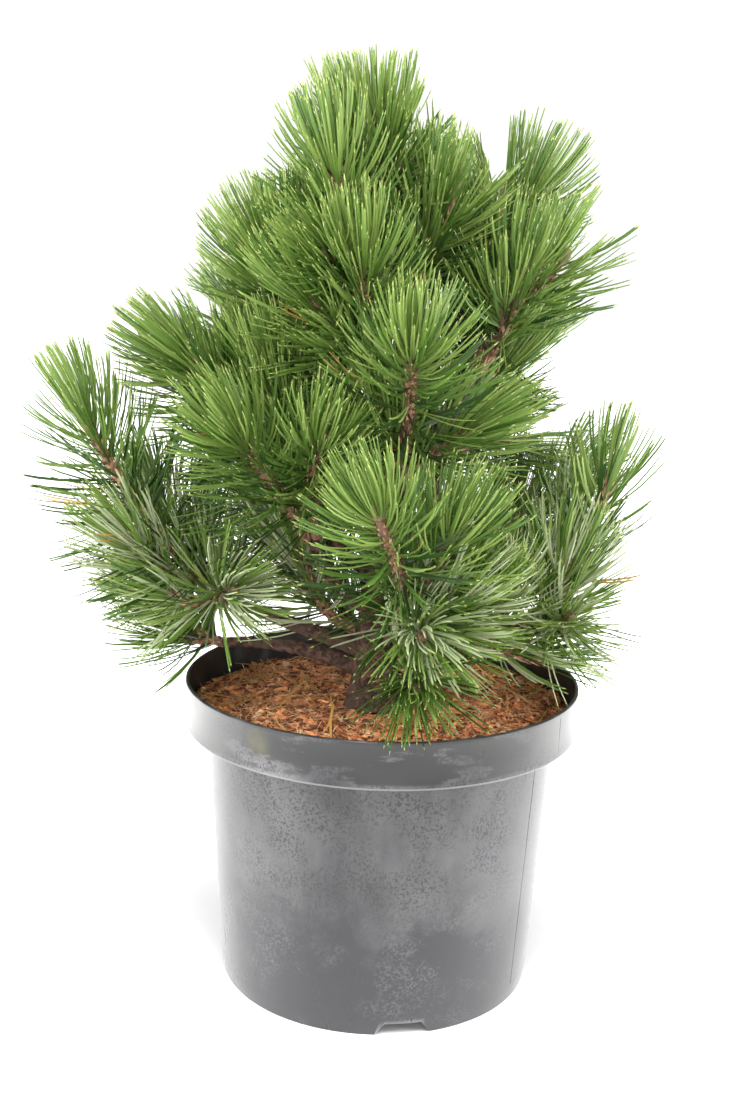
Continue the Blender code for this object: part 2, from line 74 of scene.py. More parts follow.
# Pot, as in the solids, with rounded edges and a bead under the collar
POT_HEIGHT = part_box("pot")[1].z
RIM_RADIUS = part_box("pot")[1].x
COLLAR_RADIUS = 0.1255
NECK_RADIUS = 0.1116
WALL_FOOT_RADIUS = 0.1020
FOOT_RADIUS = 0.1002
WALL = 0.0020
LEDGE = 0.1685
BEAD = 0.0004
BEAD_HEIGHTS = (0.0004, 0.0011, 0.0018)
RIM_STEP = 0.0004
RIM_DROPS = (0.0030, 0.0024, 0.0006)
RECESS = 0.0090
HUB_RADIUS = 0.040
HUB_SLOPE = 0.004
POT_STEPS = 180
NOTCH_COUNT = 3
NOTCH_HEADING = -80.0
NOTCH_HEIGHT = 0.0080
NOTCH_FOOT_WIDTH = 0.034
NOTCH_TOP_WIDTH = 0.023

# The pot's finish. Its haze lies on faces that look outward by more than the last of these values
POT_HAZE = ((0.028, 0.027, 0.030), (0.098, 0.095, 0.098))
POT_FOOT_HAZE = (0.017, 0.016, 0.020)
POT_COLLAR_HAZE = (0.058, 0.057, 0.055)
POT_SPOT = (0.012, 0.012, 0.013)
POT_BLOTCH = (0.068, 0.067, 0.070)
# Wet smears and painted shade: spread broadly, they darken the collar's whole front
POT_WET_AND_SHADE = (0.008, 0.008, 0.008)
# Painted highlight: a light band along the bead under the collar
POT_BEAD_HIGHLIGHT = (0.150, 0.150, 0.155)
POT_STAIN = (0.065, 0.060, 0.022)
POT_STAIN_PLACE = (-0.0735, -0.1020, 0.1870)
POT_IOR = 1.55
POT_SHEEN = 0.65
POT_SHEEN_ROUGHNESS = 0.45
POT_ROUGHNESS = (0.26, 0.38)
POT_RELIEF = (0.05, 0.0004)
RIM_COLOURS = ((0.022, 0.022, 0.023), (0.060, 0.058, 0.056))
RIM_ROUGHNESS = (0.28, 0.50)
RIM_RELIEF = (0.06, 0.0005)
OUTWARD = 0.3

# Mould seams of the pot: the foot's height and radius and the top's, on the wall and on the collar
SEAM_HEADINGS = (-31.0, 149.0)
SEAM_WIDTH = 0.0008
SEAM_STAND = 0.00025
SEAM_RUNS = (
    (RECESS + WALL, WALL_FOOT_RADIUS, LEDGE - 0.001, NECK_RADIUS),
    (LEDGE + 0.003, COLLAR_RADIUS, POT_HEIGHT - 0.003, RIM_RADIUS - RIM_STEP),
)

# Patches on the pot: their scale, the low and the high end of the step that makes them, their grain
POT_CLOUD = (16.0, 0.34, 0.68, 5.0)
POT_ZONES = (34.0, 0.34, 0.58, 4.0)
POT_DROPS = (640.0, 0.50, 0.57, 3.0)
POT_BLOTCHES = (560.0, 0.48, 0.58, 3.0)
POT_PATCHES = (24.0, 0.48, 0.64, 4.0)
POT_SMEARS = (26.0, 0.40, 0.48, 6.0)
RIM_SCUFF = (60.0, 0.45, 0.70, 8.0)
CLOUD_STRETCH = (1.0, 1.0, 0.45)
SMEAR_STRETCH = (1.0, 1.0, 3.0)

# Where the patches lie: none at the first height, depth or distance, and in full at the second
FOOT_TIDE = 0.030
FOOT_FADE = (0.115, 0.070)
DROP_FADE = (0.050, 0.110)
BLOTCH_FADE = (0.120, 0.080)
COLLAR_FADE = (LEDGE + 0.002, LEDGE + 0.004)
COLLAR_SIDE_FADE = (-0.105, -0.060)
# The front of the collar, where the wet smears lay painted shade
FRONT_SHADE_FADE = (-0.070, -0.112)
STAIN_FADE = (0.012, 0.003)
# Where the painted highlight along the bead under the collar lies
BEAD_HIGHLIGHT_FADES = ((LEDGE + 0.0003, LEDGE + 0.0005), (LEDGE + 0.0014, LEDGE + 0.0010))

# Soil: fine red-brown fibre with chips, flat round the trunk
SOIL_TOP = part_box("soil")[1].z
SOIL_EDGE = 0.178
SOIL_FLAT_RADIUS = 0.046
SOIL_RADIUS = COLLAR_RADIUS - WALL - 2 * CLEAR
SOIL_STEPS = 200
SOIL_RINGS = 90
SOIL_SUNK = 0.0006
SOIL_LUMP = 0.0030
SOIL_LUMP_SCALE = 38
SOIL_LUMP_REACH = 0.05
SOIL_CRUMB = 0.0010
SOIL_CRUMB_SCALE = 210
SOIL_GRAIN = 0.0006
SOIL_GRAIN_SCALE = 620
TRUNK_CLEARING = 0.018
LITTER_EDGE = 0.004
LITTER_RISE = 0.0006

# Chips of bark: how many, the share of each kind, half their length at least and what chance adds
# to it at most, and their other sizes and tilts
CHIP_SEED = 31
CHIPS = 4200
CHIP_KINDS = (("chips_red", 0.5), ("chips_dark", 0.4), ("chips_pale", 0.1))
CHIP_HALF_LENGTH = (0.0009, 0.0040)
CHIP_SKEW = 2.5
CHIP_WIDTH_SHARE = (0.25, 0.6)
CHIP_HALF_THICKNESS = (0.0003, 0.0009)
CHIP_TILTS = (0.35, 0.25)
CHIP_ROUGHNESS = 0.35

# Strands on the soil: each kind's finish, number, lengths, widths and rise above the soil
STRAND_SEED = 32
STRANDS = {
    "fibres_red": ("fibre_red", 4200, (0.004, 0.022), (0.0003, 0.0008), 0.0006),
    "fibres_pale": ("fibre_pale", 1400, (0.005, 0.026), (0.0003, 0.0007), 0.0008),
    "fallen_needles": ("dry", 60, (0.04, 0.065), (0.0011, 0.0015), 0.0014),
}
STRAND_TILT = 0.18
STRAND_BEND = 0.12
STRAND_ARCH = 0.04
STRAND_EDGE = 0.002
STRAND_STOPS = (0.0, 0.33, 0.66, 1.0)
STRAND_TAPER = (0.6, 1.0, 1.0, 0.5)

# Trunk and boughs, as in the solids
TRUNK_FOOT = Vector((-0.005, -0.020, SOIL_TOP + CLEAR))
TRUNK_TIP = Vector((-0.011, 0.008, 0.488))
TRUNK_BOW = 0.004
TRUNK_FOOT_RADIUS = 0.0145
TRUNK_TIP_RADIUS = 0.0036
FLARE_RADIUS = 0.0055
FLARE_HEIGHT = 0.014
FLARE_STOPS = (0.0, 0.004, 0.010, 0.020)
TRUNK_STATIONS = 12
BOUGH_SHARE = 0.42
BOUGH_TIP_RADIUS = 0.0034
BOUGH_RISE = 18.0
BOUGH_STATIONS = 6
BOUGH_FINE_STATIONS = 24
SWEEP = 0.45
STEM_SWEEP = 0.30
STEEP = 0.95

# Bark: the steps along a limb, how finely its round is divided, and the relief
TRUNK_BARK_STEP = 0.0012
BOUGH_BARK_STEP = TRUNK_BARK_STEP * 1.6
TRUNK_ROUNDNESS = 22
BOUGH_ROUNDNESS = 8
STEM_ROUNDNESS = 2
FEWEST_STEPS = 4
SMOOTHING = 0.35
TRUNK_RELIEF = 0.0011
BOUGH_RELIEF = TRUNK_RELIEF * 0.7
PLATE_SCALE = (260, 95)
PLATE_SHIFT = Vector((0.0, 0.0, 0.0))
PLATE_SHARE = 0.75
CRACK_SCALE = (520, 240)
CRACK_SHIFT = Vector((7.0, 3.0, 1.0))
CRACK_LIMIT = 0.25
CRACK_SHARE = 0.9
GRAIN_SCALE = 1500
GRAIN_SHARE = 0.22

# Shoots, by the rule of the solids
STEM_ROOT_RADIUS = 0.0034
STEM_BUD_RADIUS = 0.0026
STEM_STATIONS = 4
STEM_FOOT = 0.0025
SIDE_STATIONS = 3
SIDE_AT = (0.30, 0.50)
SIDE_SPREAD = (34.0, 46.0)
SIDE_SHARE = (0.60, 0.80)
SIDE_ROOT_SHARE = 0.8
SIDE_LONGEST = 0.060
SIDE_LIFT = 0.50
SIDE_STEP = 137.5
SHOOT_SPACING = 0.0006
ROD_STEPS = 8
POT_ROOM = 0.003
WALL_ROOM = 0.008
TINY = 1e-15

# Finer twigs between the shoots of a mass
TWIGS = 1
TWIG_AT = (0.15, 0.50)
TWIG_LENGTH = (0.016, 0.026)
TWIG_SPREAD = (35.0, 60.0)
TWIG_RADIUS = 0.0016

# Stems of the shoots, as a share of the solids' own, with leaf bases and buds
STEM_SIZE = 1.12
LEAF_BASE_SEED = 77
LEAF_BASE_STEP = 0.0011
LEAF_BASE_DEPTH = 0.75
LEAF_BASE_HALF = 0.0011
LEAF_BASE_LENGTH = 0.0046
LEAF_BASE_RISE = 0.0014
BUD_RADIUS = 0.0034
TWIG_BUD_RADIUS = 0.0024
BUD_STRETCH = 2.3

# Needles, in pairs, with the reach of the solids
NEEDLE_SEED = 5000
NEEDLED_SHARE = 0.85
NEEDLED_LONGEST = 0.130
NEEDLE_ZONE = 0.085
NEEDLE_LENGTH_AT_BUD = 0.055
NEEDLE_LENGTH = 0.070
NEEDLE_ANGLE_AT_BUD = 8.0
NEEDLE_ANGLE_AT_FOOT = 72.0
NEEDLE_OPENING = 0.6
NEEDLE_ROLL = 137.5
ANGLE_JITTER = 7.0
LENGTH_JITTER = 0.06
PAIRS_PER_METRE = 1700
NEEDLE_CROWDING = 1.7
PAIR_SPREAD = 0.045
NEEDLE_CURVE = 0.10
NEEDLE_SAG = 0.4
NEEDLE_ROOT_DEPTH = 0.6
NEEDLE_TESTED_FROM = 0.008
OPENING_SHARES = (0.4, 0.55, 0.7, 0.85, 1.0)
NEEDLE_WIDTH = (0.0012, 0.0016)
NEEDLE_STOPS = (0.0, 0.25, 0.55, 0.80, 0.945)
NEEDLE_TAPER = (0.80, 1.0, 1.0, 0.90, 0.62)
SHEATH_STOPS = (0.0, 0.07)
SHEATH_TAPER = (1.5, 1.2)
NEEDLE_SPECULAR = 0.45
NEEDLE_ROUGHNESS = (0.30, 0.50)
NEEDLE_WAX_SCALE = 90.0

# Gaps between the tufts, open to what lies behind. Each is a round one that the camera sees on the
# upright plane through the pot's middle, with its place across, its height and its radius
OPENINGS = (
    (0.023, 0.579, 0.012),
    (0.028, 0.563, 0.010),
    (0.039, 0.556, 0.007),
    (0.048, 0.553, 0.008),
    (0.053, 0.542, 0.007),
    (0.056, 0.532, 0.006),
    (0.060, 0.522, 0.005),
    (0.067, 0.511, 0.004),
    (0.134, 0.500, 0.012),
    (0.128, 0.419, 0.014),
    (0.110, 0.412, 0.009),
    (0.114, 0.398, 0.010),
    (0.171, 0.246, 0.017),
    (0.175, 0.288, 0.017),
    (0.165, 0.379, 0.009),
    (-0.230, 0.388, 0.011),
    (-0.066, 0.576, 0.010),
    (-0.119, 0.436, 0.006),
    (0.014, 0.553, 0.005),
    (0.101, 0.364, 0.006),
    (0.070, 0.428, 0.004),
    (0.090, 0.464, 0.003),
    (0.075, 0.418, 0.003),
    (0.065, 0.421, 0.003),
)

Bough = namedtuple("Bough", "start heading reach height")
Mass = namedtuple("Mass", "limb heading reach height sides roll")

# A bough leaves the trunk at the height start, and its tip has a heading, a reach and a height
BOUGHS = {
    "low_left": Bough(0.2035, 159, 0.113, 0.206),
    "long_left": Bough(0.2175, 189, 0.098, 0.250),
    "low_front": Bough(0.2060, -80, 0.071, 0.222),
    "front": Bough(0.2270, -81, 0.065, 0.252),
    "low_right": Bough(0.2040, -21, 0.060, 0.223),
    "right": Bough(0.2230, -8, 0.087, 0.238),
    "front_left": Bough(0.2450, 218, 0.058, 0.295),
    "upper_front": Bough(0.2640, -79, 0.049, 0.330),
    "mid_left": Bough(0.2680, 188, 0.060, 0.335),
    "mid_right": Bough(0.2800, 27, 0.040, 0.334),
    "upper_left": Bough(0.3520, 176, 0.054, 0.414),
    "upper_right": Bough(0.3350, 0, 0.052, 0.396),
    "top_right": Bough(0.3850, 19, 0.061, 0.455),
    "low_back_left": Bough(0.2100, 118, 0.072, 0.238),
    "low_back_right": Bough(0.2170, 48, 0.076, 0.240),
    "back": Bough(0.2400, 88, 0.075, 0.290),
    "upper_back_left": Bough(0.2950, 138, 0.062, 0.355),
    "upper_back_right": Bough(0.3080, 50, 0.058, 0.362),
    "top_back_left": Bough(0.3680, 120, 0.050, 0.425),
    "top_back_right": Bough(0.3800, 70, 0.046, 0.430),
}

# A mass grows from a bough's tip, or from the trunk at a height, and its main bud has a heading,
# a reach and a height. Its side shoots start turning round the main one at the angle roll
MASSES = {
    "leader": Mass("trunk", 138, 0.015, 0.545, 2, 60),
    "top_left": Mass(0.455, 223, 0.053, 0.517, 1, 200),
    "top_front": Mass(0.395, 254, 0.073, 0.461, 1, 100),
    "top_inner_right": Mass(0.440, -18, 0.036, 0.511, 1, 20),
    "top_back": Mass(0.450, 85, 0.045, 0.508, 1, 40),
    "inner_left": Mass(0.232, 170, 0.070, 0.284, 1, 300),
    "low_left": Mass("low_left", 167, 0.135, 0.224, 2, 180),
    "far_left": Mass("long_left", 190, 0.188, 0.364, 2, 95),
    "left_front": Mass("long_left", 213, 0.111, 0.267, 1, 180),
    "low_front": Mass("low_front", -82, 0.121, 0.230, 0, 0),
    "front_centre": Mass("front", 267, 0.140, 0.330, 1, 270),
    "front_low_centre": Mass("front", -81, 0.121, 0.260, 1, 250),
    "right_front": Mass("low_right", -47, 0.096, 0.275, 0, 0),
    "low_right": Mass("low_right", 0, 0.105, 0.210, 0, 0),
    "far_right": Mass("right", 0, 0.139, 0.331, 1, 300),
    "right_low_front": Mass("right", -29, 0.125, 0.256, 1, 0),
    "left_centre": Mass("front_left", 222, 0.120, 0.363, 0, 0),
    "front_left_centre": Mass("front_left", 246, 0.098, 0.361, 1, 30),
    "upper_front": Mass("upper_front", -85, 0.110, 0.418, 1, 60),
    "centre_right": Mass("upper_front", -53, 0.075, 0.368, 0, 0),
    "mid_left": Mass("mid_left", 188, 0.128, 0.400, 1, 150),
    "mid_left_inner": Mass("mid_left", 202, 0.078, 0.396, 0, 0),
    "mid_right": Mass("mid_right", 34, 0.106, 0.346, 0, 0),
    "upper_mid_right": Mass("mid_right", 8, 0.069, 0.396, 1, 90),
    "upper_left": Mass("upper_left", 182, 0.077, 0.465, 2, 150),
    "upper_right": Mass("upper_right", -18, 0.101, 0.465, 1, 100),
    "upper_right_inner": Mass("upper_right", 8, 0.071, 0.462, 0, 0),
    "top_right": Mass("top_right", 14, 0.086, 0.504, 1, 285),
    "back_left": Mass("low_back_left", 134, 0.150, 0.325, 2, 40),
    "back_right": Mass("low_back_right", 33, 0.148, 0.316, 1, 60),
    "low_back": Mass("low_back_right", 72, 0.130, 0.240, 1, 90),
    "back": Mass("back", 85, 0.135, 0.362, 2, 30),
    "upper_back_left": Mass("upper_back_left", 143, 0.120, 0.420, 2, 60),
    "upper_back_right": Mass("upper_back_right", 44, 0.115, 0.418, 2, 10),
    "top_back_left": Mass("top_back_left", 122, 0.085, 0.485, 1, 70),
    "top_back_right": Mass("top_back_right", 64, 0.076, 0.478, 1, 300),
}

# Masses whose needles stand apart, with their share of the usual number of pairs
THIN_MASSES = {
    "far_right": 0.66,
    "right_low_front": 0.72,
    "low_right": 0.72,
    "back_right": 0.66,
    "mid_right": 0.70,
    "upper_right": 0.75,
    "upper_right_inner": 0.75,
    "top_right": 0.85,
    "low_left": 0.85,
    "far_left": 0.90,
}

# Needle colours, from fresh and sunlit to old and shaded
NEEDLE_COLOURS = {
    "fresh": (0.215, 0.315, 0.072),
    "bright": (0.132, 0.230, 0.040),
    "mid": (0.076, 0.155, 0.024),
    "deep": (0.026, 0.066, 0.010),
    "grey": (0.410, 0.470, 0.275),
    "dry": (0.560, 0.310, 0.080),
}
TIP_COLOUR = (0.400, 0.460, 0.145)
SHADES = (("fresh", 0.10), ("bright", 0.42), ("mid", 0.78))
SHADE_SPREAD = 0.50
DRY_FROM = 0.60
DRY_SHARE = 0.06

# Buds below the first height are among greyer needles, those below the second among deeper ones, as
# painted shade under the rest of the crown
LOW_CROWN = 0.300
GREY_SHARE = 0.45
SHADED_CROWN = 0.240
SHADED_DEEPER = 0.35

# Natural surfaces: the dark, the light and the broad patches' colour, the scale, the low and the
# high end of the step between dark and light, the roughness of each, and the strength and depth
# of the relief
Finish = namedtuple("Finish", "title colours scale low high roughness relief")
BROAD_SCALE = 0.22
BROAD_STEP = (0.45, 0.65)
FINISHES = {
    "bark": Finish(
        "pine_bark", ((0.034, 0.019, 0.013), (0.190, 0.095, 0.062), (0.110, 0.068, 0.050)),
        240.0, 0.40, 0.58, (0.75, 0.95), (0.8, 0.0016),
    ),
    "shoot": Finish(
        "shoot_bark", ((0.150, 0.070, 0.040), (0.380, 0.210, 0.120), (0.260, 0.150, 0.095)),
        320.0, 0.40, 0.60, (0.60, 0.85), (0.4, 0.0008),
    ),
    "leaf_base": Finish(
        "leaf_base", ((0.360, 0.160, 0.090), (0.800, 0.470, 0.280), (0.560, 0.310, 0.190)),
        200.0, 0.40, 0.62, (0.55, 0.85), (0.2, 0.0005),
    ),
    "bud": Finish(
        "bud_scales", ((0.210, 0.110, 0.060), (0.480, 0.350, 0.240), (0.300, 0.180, 0.100)),
        420.0, 0.42, 0.60, (0.45, 0.75), (0.6, 0.0008),
    ),
    "soil": Finish(
        "potting_mix", ((0.085, 0.026, 0.011), (0.440, 0.160, 0.060), (0.240, 0.085, 0.034)),
        170.0, 0.36, 0.64, (0.85, 1.0), (1.0, 0.0020),
    ),
    "sheath": Finish(
        "needle_sheath", ((0.100, 0.060, 0.035), (0.200, 0.130, 0.080), (0.130, 0.090, 0.055)),
        300.0, 0.40, 0.60, (0.70, 0.90), (0.2, 0.0004),
    ),
}

# Chips and fibres: their dark and light colours, and the rest of their finish
LITTER_COLOURS = {
    "chips_red": ((0.460, 0.140, 0.046), (0.920, 0.420, 0.180)),
    "chips_dark": ((0.100, 0.030, 0.013), (0.250, 0.085, 0.036)),
    "chips_pale": ((0.700, 0.420, 0.230), (0.880, 0.620, 0.390)),
    "fibre_red": ((0.470, 0.160, 0.055), (0.880, 0.400, 0.170)),
    "fibre_pale": ((0.680, 0.420, 0.230), (0.860, 0.640, 0.400)),
}
LITTER_FINISH = (260.0, 0.40, 0.60, (0.75, 0.95), (0.3, 0.0006))

# White studio: the surround's light on the plant, and how bright it looks behind it
SURROUND = 0.32
BACKDROP = 1.10
FLOOR_HALF = 6.0
FLOOR_COLOUR = (0.90, 0.90, 0.90, 1.0)
FLOOR_ROUGHNESS = 0.6
# Painted light: the floor glows beyond a ring round the pot, lighting the plant from below and shining
# in the pot's sides
FLOOR_DULL = (0.0, -0.80, 0.0)
FLOOR_FADE = (0.80, 1.25)
FLOOR_GLOW = 1.6
LIGHT_SIZE = 0.8
LIGHT_AIM = Vector((0.0, 0.0, 0.25))
LIGHTS = {
    "key_left": ((-1.5, -0.5, 1.0), 22.0),
    "key_right": ((1.5, -0.5, 0.8), 30.0),
    "top_front": ((0.0, -1.0, 1.8), 30.0),
    "low_front": ((0.1, -1.7, 0.6), 9.0),
    "low_left": ((-1.4, -0.9, 0.3), 16.0),
}

# Camera, at the photograph's place: turns in radians, lens and sensor in millimetres
CAMERA_PLACE = Vector((-0.01724, -0.9317, 0.4883))
CAMERA_YAW = 0.004
CAMERA_PITCH = 0.217
CAMERA_ROLL = 0.029
CAMERA_LENS = 49.3
CAMERA_SENSOR = 36.0

Shoot = namedtuple("Shoot", "path radii")
Rod = namedtuple("Rod", "start end start_radius end_radius")
Needles = namedtuple("Needles", "roots bends tips sides widths kinds")


# Small helpers for meshes and pieces

def finish_piece(name, mesh, surface, replaced=()):
    """Links a mesh as a piece that rides on the plant, with its material, and hides the solids it
    replaces.
    """
    mesh.materials.clear()
    mesh.materials.append(surface)
    piece = bpy.data.objects.new(name, mesh)
    bpy.context.scene.collection.objects.link(piece)
    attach(piece, "root")
    if replaced:
        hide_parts(*replaced)
    return piece


def mesh_of(name, shape, smooth_angle=CREASE):
    """A bmesh as a mesh, smooth up to an angle."""
    mesh = bpy.data.meshes.new(name)
    shape.to_mesh(mesh)
    shape.free()
    mesh.shade_smooth()
    mesh.set_sharp_from_angle(angle=math.radians(smooth_angle))
    return mesh


def joined_mesh(name, verts, faces):
    """One flat-shaded mesh from the arrays of many small closed things."""
    mesh = bpy.data.meshes.new(name)
    mesh.from_pydata(verts.reshape(-1, 3).tolist(), [], faces)
    mesh.update()
    return mesh


def turned_shape(profile, steps):
    """A closed bmesh turned round the pot's axis from a profile that starts and ends on it."""
    shape = bmesh.new()
    verts = [shape.verts.new((radius, 0.0, height)) for radius, height in profile]
    edges = [shape.edges.new(pair) for pair in zip(verts, verts[1:])]
    bmesh.ops.spin(
        shape,
        geom=verts + edges,
        axis=(0.0, 0.0, 1.0),
        cent=(0.0, 0.0, 0.0),
        angle=math.tau,
        steps=steps,
        use_merge=True,
    )
    bmesh.ops.remove_doubles(shape, verts=shape.verts, dist=WELD)
    bmesh.ops.recalc_face_normals(shape, faces=shape.faces)
    return shape


def applied(thing):
    """Replaces an object's mesh with the result of its modifiers."""
    graph = bpy.context.evaluated_depsgraph_get()
    result = bpy.data.meshes.new_from_object(thing.evaluated_get(graph))
    thing.modifiers.clear()
    thing.data = result


# Materials

def new_material(name):
    """A Principled material, with its node tree and shader."""
    made = bpy.data.materials.new(name)
    made.use_nodes = True
    tree = made.node_tree
    return made, tree, tree.nodes["Principled BSDF"]


def add_node(tree, kind, **values):
    """A node with its properties and its inputs set by name."""
    made = tree.nodes.new(kind)
    for key, value in values.items():
        if hasattr(made, key):
            setattr(made, key, value)
        else:
            made.inputs[key.replace("_", " ")].default_value = value
    return made


def mottle_group():
    """A mask of soft patches, and the same with fine grain as a height."""
    tree = bpy.data.node_groups.new("mottle", "ShaderNodeTree")
    for name, kind, value in (
        ("Vector", "NodeSocketVector", None),
        ("Scale", "NodeSocketFloat", 40.0),
        ("Low", "NodeSocketFloat", 0.4),
        ("High", "NodeSocketFloat", 0.6),
        ("Grain", "NodeSocketFloat", 8.0),
    ):
        socket = tree.interface.new_socket(name, in_out="INPUT", socket_type=kind)
        if value is not None:
            socket.default_value = value
    tree.interface.new_socket("Mask", in_out="OUTPUT", socket_type="NodeSocketFloat")
    tree.interface.new_socket("Height", in_out="OUTPUT", socket_type="NodeSocketFloat")
    given = tree.nodes.new("NodeGroupInput")
    result = tree.nodes.new("NodeGroupOutput")
    patches = add_node(tree, "ShaderNodeTexNoise", Detail=6.0, Roughness=0.62)
    spread = add_node(tree, "ShaderNodeMapRange", interpolation_type="SMOOTHSTEP")
    finer = add_node(tree, "ShaderNodeMath", operation="MULTIPLY")
    grain = add_node(tree, "ShaderNodeTexNoise", Detail=3.0)
    height = add_node(tree, "ShaderNodeMath", operation="ADD")
    tree.links.new(given.outputs["Vector"], patches.inputs["Vector"])
    tree.links.new(given.outputs["Scale"], patches.inputs["Scale"])
    tree.links.new(patches.outputs["Fac"], spread.inputs["Value"])
    tree.links.new(given.outputs["Low"], spread.inputs["From Min"])
    tree.links.new(given.outputs["High"], spread.inputs["From Max"])
    tree.links.new(given.outputs["Scale"], finer.inputs[0])
    tree.links.new(given.outputs["Grain"], finer.inputs[1])
    tree.links.new(given.outputs["Vector"], grain.inputs["Vector"])
    tree.links.new(finer.outputs[0], grain.inputs["Scale"])
    tree.links.new(spread.outputs["Result"], height.inputs[0])
    tree.links.new(grain.outputs["Fac"], height.inputs[1])
    tree.links.new(spread.outputs["Result"], result.inputs["Mask"])
    tree.links.new(height.outputs[0], result.inputs["Height"])
    return tree


def object_place(tree):
    """The place on the object, as a vector."""
    return tree.nodes.new("ShaderNodeTexCoord").outputs["Object"]


def stretched(tree, vector, scale):
    """A vector scaled along each axis."""
    made = add_node(tree, "ShaderNodeMapping", Scale=scale)
    tree.links.new(vector, made.inputs["Vector"])
    return made.outputs["Vector"]


def distance_from(tree, vector, spot):
    """How far a vector's place is from a spot."""
    made = add_node(tree, "ShaderNodeVectorMath", operation="DISTANCE")
    tree.links.new(vector, made.inputs[0])
    made.inputs[1].default_value = spot
    return made.outputs["Value"]


def mottled(tree, group, vector, scale, low, high, grain=8.0):
    """The mottle group placed in a material with its own values."""
    made = add_node(
        tree, "ShaderNodeGroup", node_tree=group, Scale=scale, Low=low, High=high, Grain=grain,
    )
    tree.links.new(vector, made.inputs["Vector"])
    return made


def mixed(tree, factor, first, second):
    """A colour between two others by a factor, where each colour is a value or a socket."""
    made = add_node(tree, "ShaderNodeMix", data_type="RGBA")
    tree.links.new(factor, made.inputs["Factor"])
    for socket, colour in ((made.inputs["A"], first), (made.inputs["B"], second)):
        if isinstance(colour, tuple):
            socket.default_value = (*colour, 1.0)
        else:
            tree.links.new(colour, socket)
    return made.outputs["Result"]


def add_bump(tree, shader, height, strength, distance):
    """Relief from a height on a shader's normal."""
    bump = add_node(tree, "ShaderNodeBump", Strength=strength, Distance=distance)
    tree.links.new(height, bump.inputs["Height"])
    tree.links.new(bump.outputs["Normal"], shader.inputs["Normal"])


def rough_range(tree, factor, shader, smooth, rough):
    """Roughness between two values by a factor."""
    made = add_node(tree, "ShaderNodeMapRange", To_Min=smooth, To_Max=rough)
    tree.links.new(factor, made.inputs["Value"])
    tree.links.new(made.outputs["Result"], shader.inputs["Roughness"])


def mottled_material(group, finish):
    """A natural surface: two colours in patches, a third in larger ones, with grain."""
    made, tree, shader = new_material(finish.title)
    vector = object_place(tree)
    fine = mottled(tree, group, vector, finish.scale, finish.low, finish.high)
    broad = mottled(tree, group, vector, finish.scale * BROAD_SCALE, *BROAD_STEP)
    dark, light, wide = finish.colours
    base = mixed(tree, fine.outputs["Mask"], dark, light)
    base = mixed(tree, broad.outputs["Mask"], base, wide)
    tree.links.new(base, shader.inputs["Base Color"])
    rough_range(tree, fine.outputs["Mask"], shader, *finish.roughness)
    add_bump(tree, shader, fine.outputs["Height"], *finish.relief)
    return made


def between(tree, value, low, high):
    """A soft step from 0 below low to 1 above high, or down where high is the lower one."""
    made = add_node(tree, "ShaderNodeMapRange", From_Min=low, From_Max=high)
    made.interpolation_type = "SMOOTHSTEP"
    tree.links.new(value, made.inputs["Value"])
    return made.outputs["Result"]


def times(tree, *factors):
    """The product of several factors."""
    product = factors[0]
    for factor in factors[1:]:
        made = add_node(tree, "ShaderNodeMath", operation="MULTIPLY")
        tree.links.new(product, made.inputs[0])
        tree.links.new(factor, made.inputs[1])
        product = made.outputs[0]
    return product


def pot_layers(tree, group, vector, drops):
    """The colours over the pot's haze, from the lowest to the topmost, each with its mask; the wet
    smears also paint shade over the collar's front, and the topmost is a painted highlight along the
    bead.
    """
    split = tree.nodes.new("ShaderNodeSeparateXYZ")
    tree.links.new(vector, split.inputs["Vector"])
    depth = split.outputs["Y"]
    height = split.outputs["Z"]
    zones = mottled(tree, group, vector, *POT_ZONES).outputs["Mask"]
    blotches = mottled(tree, group, vector, *POT_BLOTCHES).outputs["Mask"]
    patches = mottled(tree, group, vector, *POT_PATCHES).outputs["Mask"]
    wet = mottled(tree, group, stretched(tree, vector, SMEAR_STRETCH), *POT_SMEARS).outputs["Mask"]
    tide = add_node(tree, "ShaderNodeMath", operation="MULTIPLY_ADD")
    tree.links.new(zones, tide.inputs[0])
    tide.inputs[1].default_value = FOOT_TIDE
    tree.links.new(height, tide.inputs[2])
    collar = between(tree, height, *COLLAR_FADE)
    stain = between(tree, distance_from(tree, vector, POT_STAIN_PLACE), *STAIN_FADE)
    return (
        (between(tree, tide.outputs[0], *FOOT_FADE), POT_FOOT_HAZE),
        (times(tree, drops, zones, between(tree, height, *DROP_FADE)), POT_SPOT),
        (times(tree, blotches, patches, between(tree, height, *BLOTCH_FADE)), POT_BLOTCH),
        (times(tree, collar, between(tree, depth, *COLLAR_SIDE_FADE)), POT_COLLAR_HAZE),
        # Wet smears and painted shade over the collar's front
        (times(tree, wet, collar, between(tree, depth, *FRONT_SHADE_FADE)), POT_WET_AND_SHADE),
        (times(tree, stain, zones), POT_STAIN),
        # Painted highlight: a light band along the bead under the collar
        (times(tree, *[between(tree, height, *fade) for fade in BEAD_HIGHLIGHT_FADES]), POT_BEAD_HIGHLIGHT),
    )


